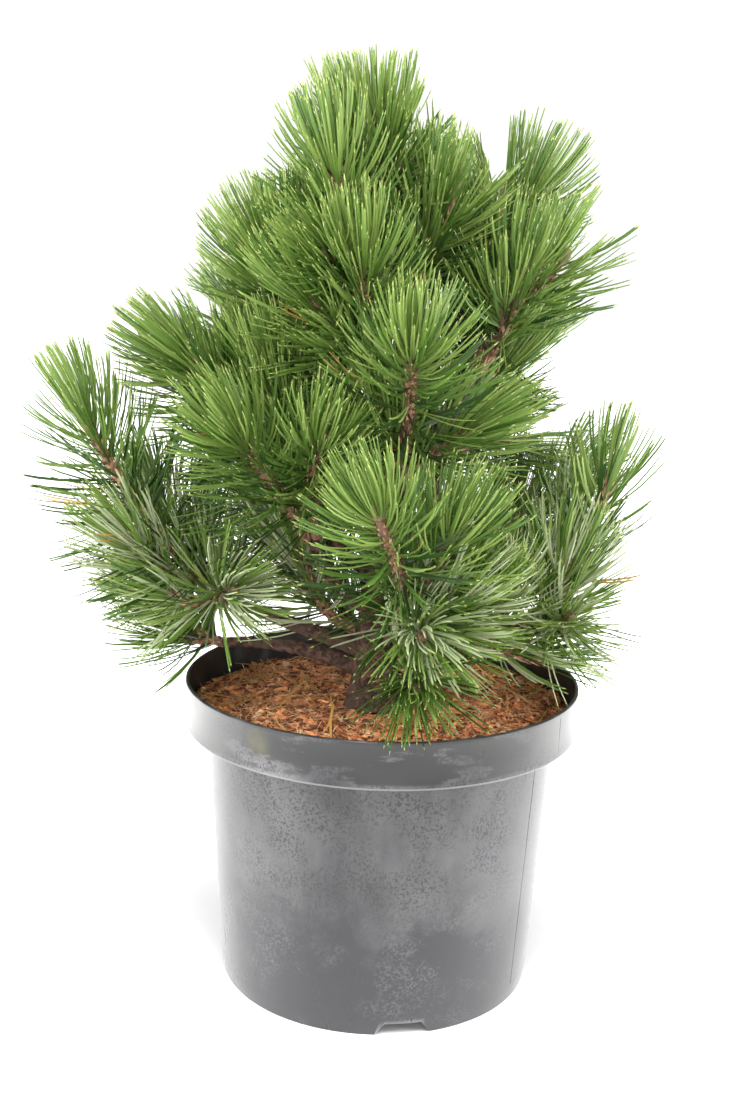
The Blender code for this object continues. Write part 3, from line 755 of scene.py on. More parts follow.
def pot_material(group):
    """Black plastic under a pale water haze: cloudy, spotted with dried drops and smeared wet, with
    painted shade on the collar's front and a painted highlight along the bead under the collar.
    """
    made, tree, shader = new_material("black_plastic_hazed")
    shader.inputs["IOR"].default_value = POT_IOR
    shader.inputs["Sheen Weight"].default_value = POT_SHEEN
    shader.inputs["Sheen Roughness"].default_value = POT_SHEEN_ROUGHNESS
    vector = object_place(tree)
    cloud = mottled(tree, group, stretched(tree, vector, CLOUD_STRETCH), *POT_CLOUD)
    drops = mottled(tree, group, vector, *POT_DROPS)
    base = mixed(tree, cloud.outputs["Mask"], *POT_HAZE)
    for mask, colour in pot_layers(tree, group, vector, drops.outputs["Mask"]):
        base = mixed(tree, mask, base, colour)
    tree.links.new(base, shader.inputs["Base Color"])
    rough_range(tree, cloud.outputs["Mask"], shader, *POT_ROUGHNESS)
    add_bump(tree, shader, drops.outputs["Height"], *POT_RELIEF)
    return made


def rim_material(group):
    """The bare black plastic of the rim and the inside."""
    made, tree, shader = new_material("black_plastic_bare")
    scuff = mottled(tree, group, object_place(tree), *RIM_SCUFF)
    base = mixed(tree, scuff.outputs["Mask"], *RIM_COLOURS)
    tree.links.new(base, shader.inputs["Base Color"])
    rough_range(tree, scuff.outputs["Mask"], shader, *RIM_ROUGHNESS)
    add_bump(tree, shader, scuff.outputs["Height"], *RIM_RELIEF)
    return made


def needle_material(name, colour):
    """A waxy needle of one plain colour, with an uneven sheen."""
    made, tree, shader = new_material(f"needle_{name}")
    shader.inputs["Base Color"].default_value = (*colour, 1.0)
    shader.inputs["Specular IOR Level"].default_value = NEEDLE_SPECULAR
    wax = add_node(tree, "ShaderNodeTexNoise", Scale=NEEDLE_WAX_SCALE, Detail=2.0)
    tree.links.new(object_place(tree), wax.inputs["Vector"])
    rough_range(tree, wax.outputs["Fac"], shader, *NEEDLE_ROUGHNESS)
    return made


# Growth: the rule of the solids

def place(heading, reach, height):
    """The point at a heading, a reach from the pot's axis and a height."""
    angle = math.radians(heading)
    return Vector((reach * math.cos(angle), reach * math.sin(angle), height))


def trunk_centre(height):
    """The middle of the trunk at a height."""
    share = (height - TRUNK_FOOT.z) / (TRUNK_TIP.z - TRUNK_FOOT.z)
    centre = TRUNK_FOOT.lerp(TRUNK_TIP, share)
    centre.x += TRUNK_BOW * math.sin(math.pi * share)
    centre.z = height
    return centre


def trunk_radius(height):
    """The trunk's radius at a height, with the flare at its foot."""
    above = height - TRUNK_FOOT.z
    share = above / (TRUNK_TIP.z - TRUNK_FOOT.z)
    taper = TRUNK_FOOT_RADIUS + (TRUNK_TIP_RADIUS - TRUNK_FOOT_RADIUS) * share
    return taper + FLARE_RADIUS * math.exp(-above / FLARE_HEIGHT)


def trunk_shoot():
    """The trunk's centre line and radii, upright at its flat foot."""
    heights = [TRUNK_FOOT.z + stop for stop in FLARE_STOPS]
    flared = heights[-1]
    for step in range(1, TRUNK_STATIONS + 1):
        heights.append(flared + (TRUNK_TIP.z - flared) * step / TRUNK_STATIONS)
    path = [trunk_centre(height) for height in heights]
    path[1].xy = path[0].xy
    return Shoot(path, [trunk_radius(height) for height in heights])


def sweep(root, leave, tip, stations, bow=SWEEP):
    """A curve from root to tip that leaves in a given direction."""
    bend = root + leave.normalized() * (tip - root).length * bow
    path = []
    for step in range(stations + 1):
        share = step / stations
        path.append(root.lerp(bend, share).lerp(bend.lerp(tip, share), share))
    return path


def tapered(path, root_radius, tip_radius):
    """A shoot on a path whose radius falls evenly from root to tip."""
    last = len(path) - 1
    radii = [root_radius + (tip_radius - root_radius) * step / last for step in range(last + 1)]
    return Shoot(path, radii)


def main_shoot(root, leave, mass):
    """A mass's main shoot, from a short straight foot to its bud."""
    foot = root + leave * STEM_FOOT
    bud = place(mass.heading, mass.reach, mass.height)
    path = sweep(foot, leave, bud, STEM_STATIONS, STEM_SWEEP)
    return tapered([root] + path, STEM_ROOT_RADIUS, STEM_BUD_RADIUS)


def end_direction(path):
    """The direction in which a path ends."""
    return (path[-1] - path[-2]).normalized()


def bough_shoot(bough, stations=BOUGH_STATIONS):
    """A bough's centre line and radii, from the middle of the trunk to its tip."""
    root = trunk_centre(bough.start)
    tip = place(bough.heading, bough.reach, bough.height)
    outward = Vector((tip.x - root.x, tip.y - root.y, 0.0)).normalized()
    leave = outward + Vector((0.0, 0.0, math.tan(math.radians(BOUGH_RISE))))
    path = sweep(root, leave, tip, stations)
    return tapered(path, trunk_radius(bough.start) * BOUGH_SHARE, BOUGH_TIP_RADIUS)


def mass_root(name, mass, trunk, boughs):
    """Where a mass's stem starts, a little clear of its limb, and its first direction."""
    bud = place(mass.heading, mass.reach, mass.height)
    if mass.limb == "trunk":
        leave = end_direction(trunk.path)
        return trunk.path[-1] + leave * CLEAR, leave
    if mass.limb not in boughs:
        centre = trunk_centre(mass.limb)
        leave = Vector((bud.x - centre.x, bud.y - centre.y, 0.0)).normalized()
        return centre + leave * (trunk_radius(mass.limb) + 3 * CLEAR), leave
    path = boughs[mass.limb].path
    leave = end_direction(path)
    apart = Vector()
    for other_name, other in MASSES.items():
        if other.limb == mass.limb and other_name != name:
            apart = bud - place(other.heading, other.reach, other.height)
            apart -= leave * apart.dot(leave)
            apart.normalize()
    return path[-1] + leave * CLEAR + apart * (STEM_ROOT_RADIUS + CLEAR), leave


def round_about(direction, roll):
    """The unit vector square to a direction at an angle from its upper side, or from +Y if steep."""
    upper = Vector((0.0, 0.0, 1.0))
    if abs(direction.z) > STEEP:
        upper = Vector((0.0, 1.0, 0.0))
    upper = (upper - direction * upper.dot(direction)).normalized()
    across = direction.cross(upper)
    angle = math.radians(roll)
    return upper * math.cos(angle) + across * math.sin(angle)


def path_length(path):
    """The length of a path."""
    return sum((end - start).length for start, end in zip(path, path[1:]))


def side_shoot(main, roll, dice):
    """A shoot that leaves the main one at a spread and turns up."""
    share = dice.uniform(*SIDE_AT) * (len(main.path) - 1)
    step = int(share)
    root = main.path[step].lerp(main.path[step + 1], share - step)
    along = (main.path[step + 1] - main.path[step]).normalized()
    spread = math.radians(dice.uniform(*SIDE_SPREAD))
    leave = along * math.cos(spread) + round_about(along, roll) * math.sin(spread)
    rising = (leave + Vector((0.0, 0.0, SIDE_LIFT))).normalized()
    length = min(SIDE_LONGEST, path_length(main.path) * dice.uniform(*SIDE_SHARE))
    tip = root + rising * length
    path = sweep(root, leave, tip, SIDE_STATIONS)
    return tapered(path, main.radii[step] * SIDE_ROOT_SHARE, STEM_BUD_RADIUS)


def rods_of(shoot):
    """A shoot as straight tapering rods."""
    return [Rod(*ends) for ends in zip(shoot.path, shoot.path[1:], shoot.radii, shoot.radii[1:])]


def least_gap(rod, others):
    """The least gap between a rod and a list of others, from the nearest points of their axes."""
    if not others:
        return math.inf
    starts = np.array([other.start for other in others])
    runs = np.array([other.end for other in others]) - starts
    run = np.array(rod.end - rod.start)
    apart = np.array(rod.start) - starts
    own = run @ run
    theirs = np.einsum("ij,ij->i", runs, runs)
    cross = runs @ run
    along_own = apart @ run
    along_theirs = np.einsum("ij,ij->i", runs, apart)
    square = np.maximum(own * theirs - cross * cross, TINY)
    at_own = np.clip((cross * along_theirs - along_own * theirs) / square, 0.0, 1.0)
    at_theirs = np.clip((cross * at_own + along_theirs) / theirs, 0.0, 1.0)
    at_own = np.clip((cross * at_theirs - along_own) / own, 0.0, 1.0)
    nearest = apart + at_own[:, None] * run - at_theirs[:, None] * runs
    first = np.array([other.start_radius for other in others])
    last = np.array([other.end_radius for other in others])
    own_radius = rod.start_radius + (rod.end_radius - rod.start_radius) * at_own
    their_radius = first + (last - first) * at_theirs
    return float((np.linalg.norm(nearest, axis=1) - own_radius - their_radius).min())


def meets_pot(rod):
    """Whether a rod comes near the pot or the soil."""
    for step in range(ROD_STEPS + 1):
        point = rod.start.lerp(rod.end, step / ROD_STEPS)
        reach = math.hypot(point.x, point.y)
        low = point.z < POT_HEIGHT + POT_ROOM and reach < RIM_RADIUS + POT_ROOM
        over_soil = reach < RIM_RADIUS - WALL_ROOM and point.z > SOIL_TOP + POT_ROOM
        if low and not over_soil:
            return True
    return False


def grow_shoots(root, leave, mass, others, dice):
    """A mass's main shoot and those of its side shoots that touch nothing."""
    main = main_shoot(root, leave, mass)
    shoots = [main]
    for index in range(mass.sides):
        side = side_shoot(main, mass.roll + index * SIDE_STEP, dice)
        if min(least_gap(rod, others) for rod in rods_of(side)) > SHOOT_SPACING:
            shoots.append(side)
    return shoots


def point_below_bud(path, below):
    """The point a distance back along a path from its tip, and the direction there."""
    for start, end in zip(path[-2::-1], path[:0:-1]):
        length = (end - start).length
        if below <= length:
            return end.lerp(start, below / length), (end - start).normalized()
        below -= length
    return path[0].copy(), (path[1] - path[0]).normalized()


def grow_plant():
    """Each mass's shoots, and the rods of the trunk and boughs, which needles keep clear of."""
    trunk = trunk_shoot()
    boughs = {name: bough_shoot(bough) for name, bough in BOUGHS.items()}
    limbs = rods_of(trunk)
    for shoot in boughs.values():
        limbs += rods_of(shoot)
    roots = {name: mass_root(name, mass, trunk, boughs) for name, mass in MASSES.items()}
    mains = {name: rods_of(main_shoot(*roots[name], mass)) for name, mass in MASSES.items()}
    grown = {}
    for index, (name, mass) in enumerate(MASSES.items()):
        others = list(limbs)
        for other in MASSES:
            if other != name:
                others += mains[other]
        grown[name] = grow_shoots(*roots[name], mass, others, random.Random(index))
        mains[name] = [rod for shoot in grown[name] for rod in rods_of(shoot)]
    return grown, limbs


# Finer twigs and needles

def grow_twigs(shoots, dice):
    """Short twigs that branch from a mass's shoots, between its side shoots."""
    twigs = []
    for shoot in shoots:
        start = dice.uniform(0.0, 360.0)
        for index in range(TWIGS):
            share = dice.uniform(*TWIG_AT) * (len(shoot.path) - 1)
            step = int(share)
            root = shoot.path[step].lerp(shoot.path[step + 1], share - step)
            along = (shoot.path[step + 1] - shoot.path[step]).normalized()
            spread = math.radians(dice.uniform(*TWIG_SPREAD))
            turn = round_about(along, start + index * SIDE_STEP)
            leave = along * math.cos(spread) + turn * math.sin(spread)
            rising = (leave + Vector((0.0, 0.0, SIDE_LIFT))).normalized()
            tip = root + rising * dice.uniform(*TWIG_LENGTH)
            twigs.append(tapered(sweep(root, leave, tip, SIDE_STATIONS), TWIG_RADIUS, TWIG_RADIUS))
    return twigs


def needle_kind(bud, age, dice):
    """The colour of a pair: greyer low in the crown, deeper with age, deeper still lowest down as
    painted shade, at times dry.
    """
    if age > DRY_FROM and dice.random() < DRY_SHARE:
        return "dry"
    shade = age + dice.uniform(-SHADE_SPREAD, SHADE_SPREAD)
    # Painted shade: the lowest tufts, under the rest of the crown, turn deeper
    if bud.z < SHADED_CROWN:
        shade += SHADED_DEEPER
    elif bud.z < LOW_CROWN and dice.random() < GREY_SHARE:
        return "grey"
    for kind, limit in SHADES:
        if shade < limit:
            return kind
    return "deep"


def inside_box(point):
    """Whether a point lies in the box of the solids, with room for a needle's width."""
    room = NEEDLE_WIDTH[1]
    sides = zip(CAD_BOX[0], point, CAD_BOX[1])
    return all(low + room <= value <= high - room for low, value, high in sides)


def in_opening(*points):
    """Whether the camera sees one of some points in a gap between the tufts."""
    for point in points:
        share = CAMERA_PLACE.y / (CAMERA_PLACE.y - point.y)
        seen = CAMERA_PLACE.lerp(point, share)
        for side, height, radius in OPENINGS:
            if math.hypot(seen.x - side, seen.z - height) < radius:
                return True
    return False


def grow_needles(shoot, fullness, limbs, dice, found):
    """Pairs of needles round a shoot, fewer where its mass is less full, added to the list found."""
    zone = min(NEEDLED_LONGEST, path_length(shoot.path) * NEEDLED_SHARE)
    start = dice.uniform(0.0, 360.0)
    bud = shoot.path[-1]
    count = round(zone * PAIRS_PER_METRE * fullness)
    for index in range(count):
        below = zone * ((index + dice.random()) / count) ** NEEDLE_CROWDING
        root, along = point_below_bud(shoot.path, below)
        age = min(1.0, below / NEEDLE_ZONE)
        opened = age**NEEDLE_OPENING
        angle = NEEDLE_ANGLE_AT_BUD + (NEEDLE_ANGLE_AT_FOOT - NEEDLE_ANGLE_AT_BUD) * opened
        angle = math.radians(angle + dice.gauss(0.0, ANGLE_JITTER))
        length = NEEDLE_LENGTH_AT_BUD + (NEEDLE_LENGTH - NEEDLE_LENGTH_AT_BUD) * age
        length *= 1.0 - abs(dice.gauss(0.0, LENGTH_JITTER))
        outward = round_about(along, start + index * NEEDLE_ROLL)
        aim = along * math.cos(angle) + outward * math.sin(angle)
        root = root + outward * shoot.radii[-1] * NEEDLE_ROOT_DEPTH
        tip = root + aim * length
        rod = Rod(root + aim * NEEDLE_TESTED_FROM, tip, 0.0, 0.0)
        twist = round_about(aim, dice.uniform(0.0, 360.0))
        halves = [twist * side * PAIR_SPREAD * length for side in (-1.0, 1.0)]
        if in_opening(*[root.lerp(tip, share) for share in OPENING_SHARES]):
            continue
        if not all(inside_box(tip + half) for half in halves):
            continue
        if meets_pot(rod) or least_gap(rod, limbs) < 0.0:
            continue
        bend = root.lerp(tip, 0.5) + (outward - along * NEEDLE_SAG) * length * NEEDLE_CURVE
        width = dice.uniform(*NEEDLE_WIDTH)
        kind = needle_kind(bud, age, dice)
        for half in halves:
            found.append((root, bend + half * 0.5, tip + half, aim.cross(twist), width, kind))


def needle_arrays(found):
    """The found needles as arrays."""
    return Needles(*[np.array(values) for values in zip(*found)])


def needle_rings(needles, stops, taper):
    """Three-cornered sections along each needle, as an array of needles, stops, corners and axes."""
    rings = []
    for share, size in zip(stops, taper):
        centre = (
            needles.roots * (1 - share) ** 2
            + needles.bends * (2 * share * (1 - share))
            + needles.tips * share**2
        )
        along = (needles.bends - needles.roots) * (1 - share) + (needles.tips - needles.bends) * share
        along /= np.linalg.norm(along, axis=1)[:, None]
        back = np.cross(along, needles.sides)
        half = (needles.widths * size / 2)[:, None]
        across = needles.sides * half
        rings.append(np.stack([centre - across, centre + across, centre + back * half], axis=1))
    return np.stack(rings, axis=1)


def closed_tubes(name, rings):
    """Closed three-cornered tubes from their rings."""
    count, stations = rings.shape[0], rings.shape[1]
    faces = []
    for index in range(count):
        base = index * stations * 3
        faces.append((base + 2, base + 1, base))
        for station in range(stations - 1):
            low = base + station * 3
            for corner in range(3):
                after = (corner + 1) % 3
                faces.append((low + corner, low + after, low + after + 3, low + corner + 3))
        top = base + (stations - 1) * 3
        faces.append((top, top + 1, top + 2))
    return joined_mesh(name, rings, faces)


def closed_points(name, rings, tips):
    """Closed three-cornered points from a ring and a tip each."""
    verts = np.concatenate([rings[:, -1], tips[:, None]], axis=1)
    faces = []
    for index in range(len(tips)):
        base = index * 4
        faces.append((base + 2, base + 1, base))
        for corner in range(3):
            faces.append((base + corner, base + (corner + 1) % 3, base + 3))
    return joined_mesh(name, verts, faces)


def grow_crown(grown, limbs):
    """Every needle of the crown as arrays, and the finer twigs of all masses."""
    found = []
    twigs = []
    for index, (name, shoots) in enumerate(grown.items()):
        dice = random.Random(NEEDLE_SEED + index)
        finer = grow_twigs(shoots, dice)
        twigs += finer
        for shoot in shoots + finer:
            grow_needles(shoot, THIN_MASSES.get(name, 1.0), limbs, dice, found)
    return needle_arrays(found), twigs


def build_needles(needles, materials):
    """The needles of the whole crown, each colour joined into its own piece, with tips and sheaths."""
    masses = [f"needles_{name}" for name in MASSES]
    for kind in NEEDLE_COLOURS:
        own = needles.kinds == kind
        chosen = Needles(*[values[own] for values in needles])
        mesh = closed_tubes(f"needles_{kind}", needle_rings(chosen, NEEDLE_STOPS, NEEDLE_TAPER))
        replaced = masses if kind == "mid" else ()
        finish_piece(f"needles_{kind}", mesh, materials[kind], replaced)
    ends = needle_rings(needles, NEEDLE_STOPS[-1:], NEEDLE_TAPER[-1:])
    tips = closed_points("needle_tips", ends, needles.tips)
    finish_piece("needle_tips", tips, materials["tip"])
    first_of_pairs = Needles(*[values[::2] for values in needles])
    collars = needle_rings(first_of_pairs, SHEATH_STOPS, SHEATH_TAPER)
    sheaths = closed_tubes("needle_sheaths", collars)
    finish_piece("needle_sheaths", sheaths, materials["sheath"])


# Woody parts

def limb_shape(path, radii, resolution):
    """A closed tube along a path, as a bmesh."""
    curve = bpy.data.curves.new("guide", "CURVE")
    curve.dimensions = "3D"
    curve.bevel_depth = 1.0
    curve.bevel_resolution = resolution
    curve.use_fill_caps = True
    spline = curve.splines.new("POLY")
    spline.points.add(len(path) - 1)
    for point, middle, radius in zip(spline.points, path, radii):
        point.co = (*middle, 1.0)
        point.radius = radius
    guide = bpy.data.objects.new("guide", curve)
    bpy.context.scene.collection.objects.link(guide)
    graph = bpy.context.evaluated_depsgraph_get()
    mesh = bpy.data.meshes.new_from_object(guide.evaluated_get(graph))
    bpy.data.objects.remove(guide, do_unlink=True)
    shape = bmesh.new()
    shape.from_mesh(mesh)
    bmesh.ops.remove_doubles(shape, verts=shape.verts, dist=LIMB_WELD)
    shape.normal_update()
    return shape


def absorb(joined, shape):
    """Adds a bmesh to another one and frees it."""
    part = bpy.data.meshes.new("part")
    shape.to_mesh(part)
    shape.free()
    joined.from_mesh(part)
    bpy.data.meshes.remove(part)


def fine_path(shoot, step):
    """A shoot's path and radii, smoothed and cut into short steps."""
    count = max(FEWEST_STEPS, round(path_length(shoot.path) / step))
    points = np.array(shoot.path)
    radii = np.array(shoot.radii)
    along = np.concatenate([[0.0], np.cumsum(np.linalg.norm(np.diff(points, axis=0), axis=1))])
    stops = np.linspace(0.0, along[-1], count + 1)
    smooth = [np.interp(stops, along, points[:, axis]) for axis in range(3)]
    window = max(1, round(SMOOTHING * count / len(shoot.path)))
    for values in smooth:
        padded = np.pad(values, window, mode="reflect", reflect_type="odd")
        values[:] = np.convolve(padded, np.full(2 * window + 1, 1 / (2 * window + 1)), mode="valid")
    path = [Vector(point) for point in zip(*smooth)]
    return path, np.interp(stops, along, radii)


def bark_noise(at, scale, shift):
    """Noise at a place, with its scales across and up the limb."""
    across, along = scale
    return noise.noise(Vector((at.x * across, at.y * across, at.z * along)) + shift)


def bark_relief(shape, depth):
    """Pushes plates and cracks of bark in and out of a limb."""
    for vert in shape.verts:
        at = vert.co
        plates = PLATE_SHARE * bark_noise(at, PLATE_SCALE, PLATE_SHIFT)
        cracks = CRACK_SHARE * max(0.0, CRACK_LIMIT - abs(bark_noise(at, CRACK_SCALE, CRACK_SHIFT)))
        grain = GRAIN_SHARE * noise.noise(at * GRAIN_SCALE)
        vert.co = at + vert.normal * depth * (plates - cracks + grain)


def build_trunk(materials):
    """The trunk with the relief of its bark, flat at the soil."""
    path, radii = fine_path(trunk_shoot(), TRUNK_BARK_STEP)
    shape = limb_shape(path, radii, TRUNK_ROUNDNESS)
    bark_relief(shape, TRUNK_RELIEF)
    for vert in shape.verts:
        vert.co.z = max(vert.co.z, TRUNK_FOOT.z)
    mesh = mesh_of("trunk_bark", shape, NO_CREASE)
    finish_piece("trunk_bark", mesh, materials["bark"], ["trunk"])


def build_boughs(materials):
    """The boughs with the relief of their bark, joined into one piece."""
    joined = bmesh.new()
    for bough in BOUGHS.values():
        path, radii = fine_path(bough_shoot(bough, BOUGH_FINE_STATIONS), BOUGH_BARK_STEP)
        shape = limb_shape(path, radii, BOUGH_ROUNDNESS)
        bark_relief(shape, BOUGH_RELIEF)
        absorb(joined, shape)
    names = [f"bough_{name}" for name in BOUGHS]
    mesh = mesh_of("bough_bark", joined, NO_CREASE)
    finish_piece("bough_bark", mesh, materials["bark"], names)


def build_stems(stems, materials):
    """The stems of the shoots and of the finer twigs."""
    joined = bmesh.new()
    for stem in stems:
        absorb(joined, limb_shape(stem.path, stem.radii, STEM_ROUNDNESS))
    finish_piece("shoot_stems", mesh_of("shoot_stems", joined), materials["shoot"])


def leaf_base_corners(stem, dice):
    """The corners of the small pointed leaf bases that overlap up a stem, four for each."""
    length = path_length(stem.path)
    start = dice.uniform(0.0, 360.0)
    count = round(length / LEAF_BASE_STEP)
    corners = []
    for index in range(count):
        below = length * (index + 0.5) / count
        root, along = point_below_bud(stem.path, below)
        radius = stem.radii[-1] + (stem.radii[0] - stem.radii[-1]) * below / length
        outward = round_about(along, start + index * NEEDLE_ROLL)
        across = along.cross(outward)
        foot = root + outward * radius * LEAF_BASE_DEPTH
        corners.append((
            foot - across * LEAF_BASE_HALF,
            foot + across * LEAF_BASE_HALF,
            foot + outward * LEAF_BASE_HALF,
            foot + along * LEAF_BASE_LENGTH + outward * LEAF_BASE_RISE,
        ))
    return corners


def build_leaf_bases(stems, materials):
    """The leaf bases on the shoots, each a closed blade of four faces."""
    dice = random.Random(LEAF_BASE_SEED)
    corners = []
    for stem in stems:
        corners += leaf_base_corners(stem, dice)
    faces = []
    for base in range(0, 4 * len(corners), 4):
        faces += [(base, base + 1, base + 2), (base, base + 3, base + 1)]
        faces += [(base + 1, base + 3, base + 2), (base + 2, base + 3, base)]
    mesh = joined_mesh("shoot_scales", np.array(corners), faces)
    shape = bmesh.new()
    shape.from_mesh(mesh)
    bmesh.ops.recalc_face_normals(shape, faces=shape.faces)
    shape.to_mesh(mesh)
    shape.free()
    finish_piece("shoot_scales", mesh, materials["leaf_base"])


def build_buds(shoots, twigs, materials):
    """A pointed bud on the end of each shoot, and a smaller one on each twig."""
    buds = bmesh.new()
    for bearers, size in ((shoots, BUD_RADIUS), (twigs, TWIG_BUD_RADIUS)):
        for shoot in bearers:
            along = end_direction(shoot.path)
            turn = along.to_track_quat("Z", "Y").to_matrix().to_4x4()
            stretch = Matrix.Diagonal((size, size, size * BUD_STRETCH, 1.0))
            spot = Matrix.Translation(shoot.path[-1] + along * size)
            matrix = spot @ turn @ stretch
            bmesh.ops.create_uvsphere(buds, u_segments=10, v_segments=8, radius=1.0, matrix=matrix)
    finish_piece("buds", mesh_of("buds", buds), materials["bud"])


def build_twigs(shoots, twigs, materials):
    """The shoots and the finer twigs, with leaf bases on the shoots and a bud on each."""
    stems = []
    for shoot in shoots + twigs:
        stems.append(Shoot(shoot.path, [radius * STEM_SIZE for radius in shoot.radii]))
    build_stems(stems, materials)
    build_leaf_bases(stems[:len(shoots)], materials)
    build_buds(shoots, twigs, materials)


# Pot and soil

def pot_profile():
    """The pot's outline, up the outside and down the inside, with a bead under the collar."""
    bead_low, bead_high, bead_end = [LEDGE + rise for rise in BEAD_HEIGHTS]
    rim_foot, rim_low, rim_high = [POT_HEIGHT - drop for drop in RIM_DROPS]
    outside = [
        (0.0, 0.0),
        (HUB_RADIUS, 0.0),
        (HUB_RADIUS + HUB_SLOPE, RECESS),
        (WALL_FOOT_RADIUS - WALL, RECESS),
        (FOOT_RADIUS - WALL, 0.0),
        (FOOT_RADIUS, 0.0),
        (WALL_FOOT_RADIUS, RECESS + WALL),
        (NECK_RADIUS, LEDGE),
        (COLLAR_RADIUS, LEDGE),
        (COLLAR_RADIUS + BEAD, bead_low),
        (COLLAR_RADIUS + BEAD, bead_high),
        (COLLAR_RADIUS + BEAD / 4, bead_end),
        (RIM_RADIUS - RIM_STEP, rim_foot),
        (RIM_RADIUS, rim_low),
        (RIM_RADIUS, rim_high),
        (RIM_RADIUS - RIM_DROPS[-1], POT_HEIGHT),
    ]
    inside = [
        (RIM_RADIUS - WALL, POT_HEIGHT),
        (COLLAR_RADIUS - WALL, LEDGE + WALL),
        (NECK_RADIUS - WALL, LEDGE + WALL),
        (WALL_FOOT_RADIUS - WALL, RECESS + WALL),
        (HUB_RADIUS + HUB_SLOPE - WALL, RECESS + WALL),
        (HUB_RADIUS - WALL, WALL),
        (0.0, WALL),
    ]
    return outside + inside


def notch_cutter(index):
    """A trapezoid block through the foot ring, wider at the ground."""
    depth = 4 * WALL
    below = -WALL
    flare = (NOTCH_FOOT_WIDTH - NOTCH_TOP_WIDTH) / NOTCH_HEIGHT
    foot = NOTCH_FOOT_WIDTH - flare * below
    outline = [
        (-foot / 2, below),
        (foot / 2, below),
        (NOTCH_TOP_WIDTH / 2, NOTCH_HEIGHT),
        (-NOTCH_TOP_WIDTH / 2, NOTCH_HEIGHT),
    ]
    shape = bmesh.new()
    front = [shape.verts.new((across, -FOOT_RADIUS - depth, height)) for across, height in outline]
    face = shape.faces.new(front)
    made = bmesh.ops.extrude_face_region(shape, geom=[face])
    moved = [item for item in made["geom"] if isinstance(item, bmesh.types.BMVert)]
    bmesh.ops.translate(shape, verts=moved, vec=(0.0, 2 * depth, 0.0))
    bmesh.ops.recalc_face_normals(shape, faces=shape.faces)
    turn = NOTCH_HEADING + 90.0 + index * 360.0 / NOTCH_COUNT
    bmesh.ops.rotate(shape, verts=shape.verts, matrix=Matrix.Rotation(math.radians(turn), 3, "Z"))
    cutter = bpy.data.objects.new("notch_cutter", mesh_of("notch_cutter", shape))
    bpy.context.scene.collection.objects.link(cutter)
    return cutter


def build_pot(materials):
    """The pot with its notches, hazed outside and bare on the rim and inside."""
    mesh = mesh_of("pot_shell", turned_shape(pot_profile(), POT_STEPS), POT_CREASE)
    pot = finish_piece("pot_shell", mesh, materials["pot"], ["pot"])
    for index in range(NOTCH_COUNT):
        cutter = notch_cutter(index)
        cut = pot.modifiers.new("notch", "BOOLEAN")
        cut.operation = "DIFFERENCE"
        cut.object = cutter
        applied(pot)
        bpy.data.objects.remove(cutter, do_unlink=True)
    pot.data.materials.clear()
    pot.data.materials.append(materials["pot"])
    pot.data.materials.append(materials["bare"])
    for face in pot.data.polygons:
        outward = Vector((face.center.x, face.center.y, 0.0)).normalized()
        hazed = face.normal.dot(outward) > OUTWARD and face.center.z < POT_HEIGHT - RIM_DROPS[-1]
        face.material_index = 0 if hazed else 1


def build_seams(materials):
    """The pot's mould seams: thin raised lines up the wall and the collar."""
    seams = bmesh.new()
    for heading in SEAM_HEADINGS:
        for foot, foot_radius, top, top_radius in SEAM_RUNS:
            low = place(heading, foot_radius - SEAM_STAND, foot)
            high = place(heading, top_radius - SEAM_STAND, top)
            absorb(seams, limb_shape([low, high], [SEAM_WIDTH / 2] * 2, STEM_ROUNDNESS))
    finish_piece("pot_seams", mesh_of("pot_seams", seams), materials["pot"])


def soil_noise(x, y, scale, layer):
    """Noise over the soil at a scale, different for each layer."""
    return noise.noise(Vector((x * scale, y * scale, layer)))


def soil_height(x, y):
    """The height of the soil's surface, with its lumps and crumbs."""
    reach = math.hypot(x, y)
    fall = max(0.0, reach - SOIL_FLAT_RADIUS) / (SOIL_RADIUS - SOIL_FLAT_RADIUS)
    lump = SOIL_LUMP * soil_noise(x, y, SOIL_LUMP_SCALE, 2.0) * min(1.0, reach / SOIL_LUMP_REACH)
    crumb = SOIL_CRUMB * soil_noise(x, y, SOIL_CRUMB_SCALE, 5.0)
    grain = SOIL_GRAIN * soil_noise(x, y, SOIL_GRAIN_SCALE, 9.0)
    return SOIL_TOP - SOIL_SUNK - (SOIL_TOP - SOIL_EDGE) * fall + lump + crumb + grain


def build_soil_bed(materials):
    """The potting mix: a closed body in the pot with a lumpy top."""
    floor = RECESS + WALL + CLEAR
    slope = (NECK_RADIUS - WALL_FOOT_RADIUS) / (LEDGE - RECESS - WALL)
    shelf = LEDGE + WALL + CLEAR
    profile = [
        (0.0, floor),
        (WALL_FOOT_RADIUS - WALL - 2 * CLEAR, floor),
        (WALL_FOOT_RADIUS - WALL - 2 * CLEAR + slope * (LEDGE - floor), shelf),
        (SOIL_RADIUS, shelf),
    ]
    for ring in range(SOIL_RINGS + 1):
        profile.append((SOIL_RADIUS * (1 - ring / SOIL_RINGS), SOIL_EDGE))
    shape = turned_shape(profile, SOIL_STEPS)
    for vert in shape.verts:
        if vert.co.z > SOIL_EDGE - CLEAR:
            vert.co.z = soil_height(vert.co.x, vert.co.y)
    shape.normal_update()
    mesh = mesh_of("soil_bed", shape, SOIL_CREASE)
    finish_piece("soil_bed", mesh, materials["soil"], ["soil"])


def scattered(count, dice):
    """Places on the soil, even over its area and clear of the trunk."""
    places = []
    while len(places) < count:
        reach = math.sqrt(dice.random()) * (SOIL_RADIUS - LITTER_EDGE)
        spot = place(dice.uniform(0.0, 360.0), reach, 0.0)
        if (spot - Vector((TRUNK_FOOT.x, TRUNK_FOOT.y, 0.0))).length > TRUNK_CLEARING:
            spot.z = soil_height(spot.x, spot.y)
            places.append(spot)
    return places


